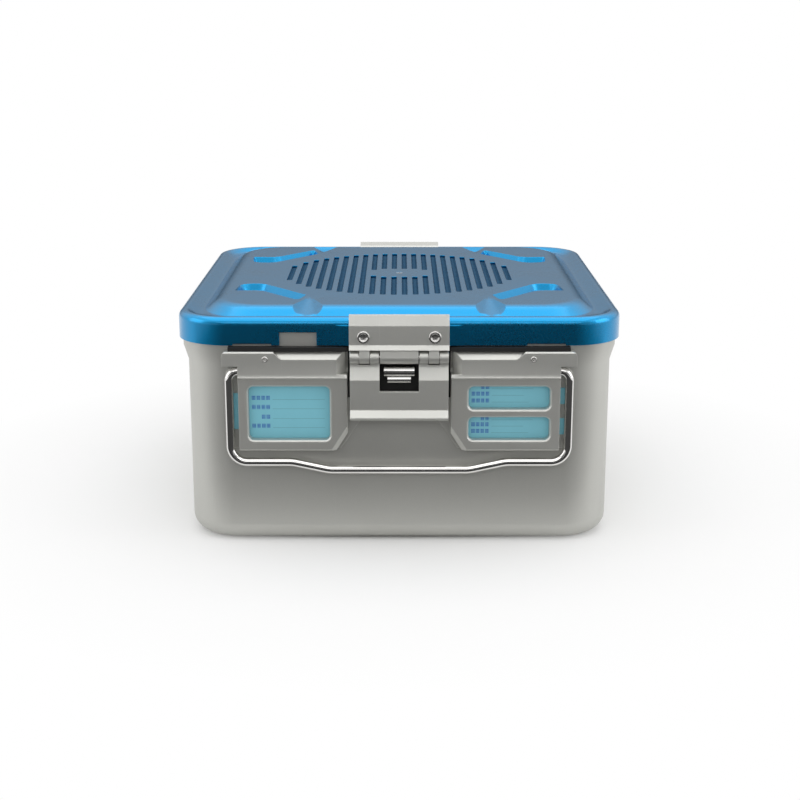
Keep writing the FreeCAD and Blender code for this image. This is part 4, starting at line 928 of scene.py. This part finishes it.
@dataclass
class StudioSet:
    """Pale floor, dark felt, softboxes, world and the camera at the photograph's angle.

    The world's ranges are of the direction's parts: its height, its distance to the side, its distance to
    the rear and, near the horizon, its height again.
    """

    camera_place: Points = field(default_factory=lambda: np.array([0.0005, -1.0511, 0.3342]))
    pitch: float = 14.75
    lens: float = 67.86
    sensor: float = 36.0
    clip_end: float = 50.0
    floor_half: float = 6.0
    felt_low: Range = (-0.7, -1.9)
    felt_high: Range = (0.7, -0.188)
    felt_level: float = 0.0004
    fill: float = 0.55
    low_level: float = 0.02
    high_level: float = 0.9
    height_range: Range = (0.3, 0.75)
    side_level: float = 0.8
    side_range: Range = (0.35, 0.85)
    rear_level: float = 0.43
    rear_range: Range = (0.1, 0.8)
    horizon_level: float = 0.05
    horizon_range: Range = (0.02, 0.22)

    def sheet(self, name: str, low: Range, high: Range, level: float, finish: Finish) -> bpy.types.Object:
        """Lays a flat rectangle.

        Args:
            name: The object's name.
            low: Lowest X and Y.
            high: Highest X and Y.
            level: Its height.
            finish: Its finish.

        Returns:
            The new stage object.
        """
        mesh = bpy.data.meshes.new(name)
        corners = [(low[0], low[1]), (high[0], low[1]), (high[0], high[1]), (low[0], high[1])]
        mesh.from_pydata([(x, y, level) for x, y in corners], [], [(0, 1, 2, 3)])
        mesh.materials.append(finish.material())
        sheet = bpy.data.objects.new(name, mesh)
        bpy.context.scene.collection.objects.link(sheet)
        return sheet

    def floor(self) -> None:
        """Lays the paper, and dark felt in front that only reflections show, to draw metal as in a studio."""
        half = self.floor_half
        self.sheet("studio_floor", (-half, -half), (half, half), 0.0, StudioPaper("studio paper"))
        felt = self.sheet("studio_felt", self.felt_low, self.felt_high, self.felt_level,
                          StudioFelt("studio felt"))
        for ray in ("visible_camera", "visible_diffuse", "visible_shadow", "visible_transmission"):
            setattr(felt, ray, False)

    def softbox(self, name: str, place: Place, aim: Place, size: Range, level: float) -> None:
        """Adds a rectangular lamp.

        Args:
            name: The lamp's name.
            place: Its middle.
            aim: The point that it faces.
            size: Width and height.
            level: How bright its face is, where 1 is a white wall.
        """
        data = bpy.data.lights.new(name, "AREA")
        data.shape = "RECTANGLE"
        data.size, data.size_y = size
        data.energy = level * math.pi * size[0] * size[1]
        lamp = bpy.data.objects.new(name, data)
        lamp.location = place
        lamp.rotation_euler = (Vector(aim) - Vector(place)).to_track_quat("-Z", "Y").to_euler()
        bpy.context.scene.collection.objects.link(lamp)

    def lamps(self) -> None:
        """Hangs the softboxes: a wide one overhead, one at each side and a long one in front."""
        self.softbox("overhead", (0.0, -0.1, 1.5), (0.0, -0.1, 0.0), (2.0, 2.0), 0.92)
        self.softbox("left", (-1.5, -0.35, 0.6), (0.0, -0.1, 0.1), (1.0, 1.0), 1.2)
        self.softbox("right", (1.5, -0.35, 0.6), (0.0, -0.1, 0.1), (1.0, 1.0), 1.6)
        self.softbox("front", (0.0, -1.85, 0.98), (0.0, 0.0, 0.1), (2.2, 0.5), 1.6)

    def world(self) -> None:
        """White to camera and transmission rays, grey fill to diffuse rays and a studio to glossy rays.

        The studio's level rises with the direction's height, towards both sides and towards the rear wall,
        and is dim low in front, where the photographer stands.
        """
        world = bpy.data.worlds.new("studio")
        bpy.context.scene.world = world
        world.use_nodes = True
        world.node_tree.nodes.clear()
        sheet = NodeSheet(world.node_tree)
        path = sheet.add("LightPath")
        direction = sheet.add("SeparateXYZ")
        sheet.feed(direction.inputs[0], sheet.add("TexCoord").outputs["Generated"])
        x, y, z = direction.outputs
        level = sheet.ramp(z, *self.height_range, self.low_level, self.high_level)
        side = sheet.ramp(sheet.math("ABSOLUTE", x), *self.side_range, 0.0, self.side_level)
        wall = sheet.ramp(y, *self.rear_range, 0.0, self.rear_level)
        rear = sheet.math("MULTIPLY", wall, sheet.ramp(z, *self.horizon_range, self.horizon_level, 1.0))
        level = sheet.math("ADD", sheet.math("ADD", level, side), rear)
        plain = sheet.math("MAXIMUM", path.outputs["Is Camera Ray"], path.outputs["Is Transmission Ray"])
        glossy = path.outputs["Is Glossy Ray"]
        strength = sheet.math("MULTIPLY_ADD", glossy, sheet.math("SUBTRACT", level, self.fill), self.fill)
        strength = sheet.math("MULTIPLY_ADD", plain, sheet.math("SUBTRACT", 1.0, strength), strength)
        light = sheet.add("Background")
        sheet.feed(light.inputs["Strength"], strength)
        sheet.feed(light.inputs["Color"], (1.0, 1.0, 1.0))
        sheet.feed(sheet.add("OutputWorld").inputs["Surface"], light.outputs[0])

    def camera(self) -> None:
        """Places the camera in front of the object, level across and tilted down."""
        data = bpy.data.cameras.new("camera")
        data.lens = self.lens
        data.sensor_width = self.sensor
        data.clip_end = self.clip_end
        camera = bpy.data.objects.new("camera", data)
        camera.location = self.camera_place
        camera.rotation_euler = (math.radians(90 - self.pitch), 0.0, 0.0)
        bpy.context.scene.collection.objects.link(camera)
        bpy.context.scene.camera = camera

    def build(self) -> None:
        """Sets the whole studio and the plain view transform."""
        bpy.context.scene.view_settings.view_transform = "Standard"
        self.floor()
        self.lamps()
        self.world()
        self.camera()


@dataclass
class CadDress:
    """Smooths the CAD nodes' shading with modifiers and puts the finishes on them."""

    split_angle: float = 32.0
    fold_angle: float = 14.0
    folded: tuple[str, ...] = ("latch_bracket",)
    weld: float = 1e-6
    area_weight: int = 50
    finishes: dict[str, Finish] = field(default_factory=lambda: {
        "tub_aluminium": TUB_METAL,
        "lid_aluminium": LID_METAL,
        "gasket_silicone": GASKET_RUBBER,
        "plate_aluminium": PLATE_METAL,
        "holder_aluminium": PLATE_METAL,
        "plain_aluminium": RETAINER_METAL,
        "stainless_steel": TURNED_STEEL,
        "polished_steel": POLISHED_WIRE,
        "black_plastic": SEAT_BLACK_WITH_PAINTED_SHADE,
        "filter_fleece": FLEECE_WITH_PAINTED_SHADE,
    })

    def smooth(self, node: bpy.types.Object) -> None:
        """Joins the loose triangles, keeps real edges sharp and weighs normals by face area.

        Args:
            node: A CAD node's object.
        """
        mesh = node.data
        mesh.polygons.foreach_set("use_smooth", np.ones(len(mesh.polygons), bool))
        node.modifiers.new("join", "WELD").merge_threshold = self.weld
        edge = node.modifiers.new("keep edges", "EDGE_SPLIT")
        folded = node.name.endswith(self.folded)
        edge.split_angle = math.radians(self.fold_angle if folded else self.split_angle)
        edge.use_edge_sharp = False
        weigh = node.modifiers.new("weigh normals", "WEIGHTED_NORMAL")
        weigh.mode = "FACE_AREA"
        weigh.weight = self.area_weight
        weigh.keep_sharp = True

    def build(self) -> None:
        """Dresses every CAD node by its material slot, and the cards by their own print."""
        cards = card_finishes()
        for row in frame["record"]["subparts"]:
            node = frame["nodes"][row["node"]]
            self.smooth(node)
            finish = cards.get(row["node"]) or self.finishes[row["material_slot"]]
            node.data.materials.clear()
            node.data.materials.append(finish.material())
            LOG.info("node %s: %s", row["node"], finish.name)


def card_finishes() -> dict[str, PrintedCard]:
    """The print of each of the six cards, by node.

    Returns:
        Finish by node name.
    """
    wide = dict(mark_x=-92.4 * MM, mark_end=-80.4 * MM, line_ends=(-46.5 * MM,) * 4, short_rows=(2,),
                rows=tuple(z * MM for z in (95.7, 89.7, 83.4, 77.5)))
    lower = dict(mark_x=45.0 * MM, mark_end=56.6 * MM, line_ends=tuple(x * MM for x in (83.8, 77.8, 81.0)),
                 short_rows=(0,), rows=tuple(z * MM for z in (82.5, 78.4, 74.2)))
    upper = dict(lower, rows=tuple(z * MM for z in (102.6, 98.4, 94.0)))
    finishes = {}
    for side in Side:
        for name, values in (("left", wide), ("right_lower", lower), ("right_upper", upper)):
            node = f"{side.value}_label_card_{name}"
            finishes[node] = PrintedCard(f"print {node}", turned=side is Side.BACK, **values)
    return finishes


def main() -> None:
    """Builds the container's looks and the studio, in order."""
    logging.basicConfig(level=logging.INFO, format="%(name)s: %(message)s")
    CadDress().build()
    for side in Side:
        WireHandle(side).build()
        Fasteners(side).build()
    StudioSet().build()


if __name__ == "__main__":
    main()
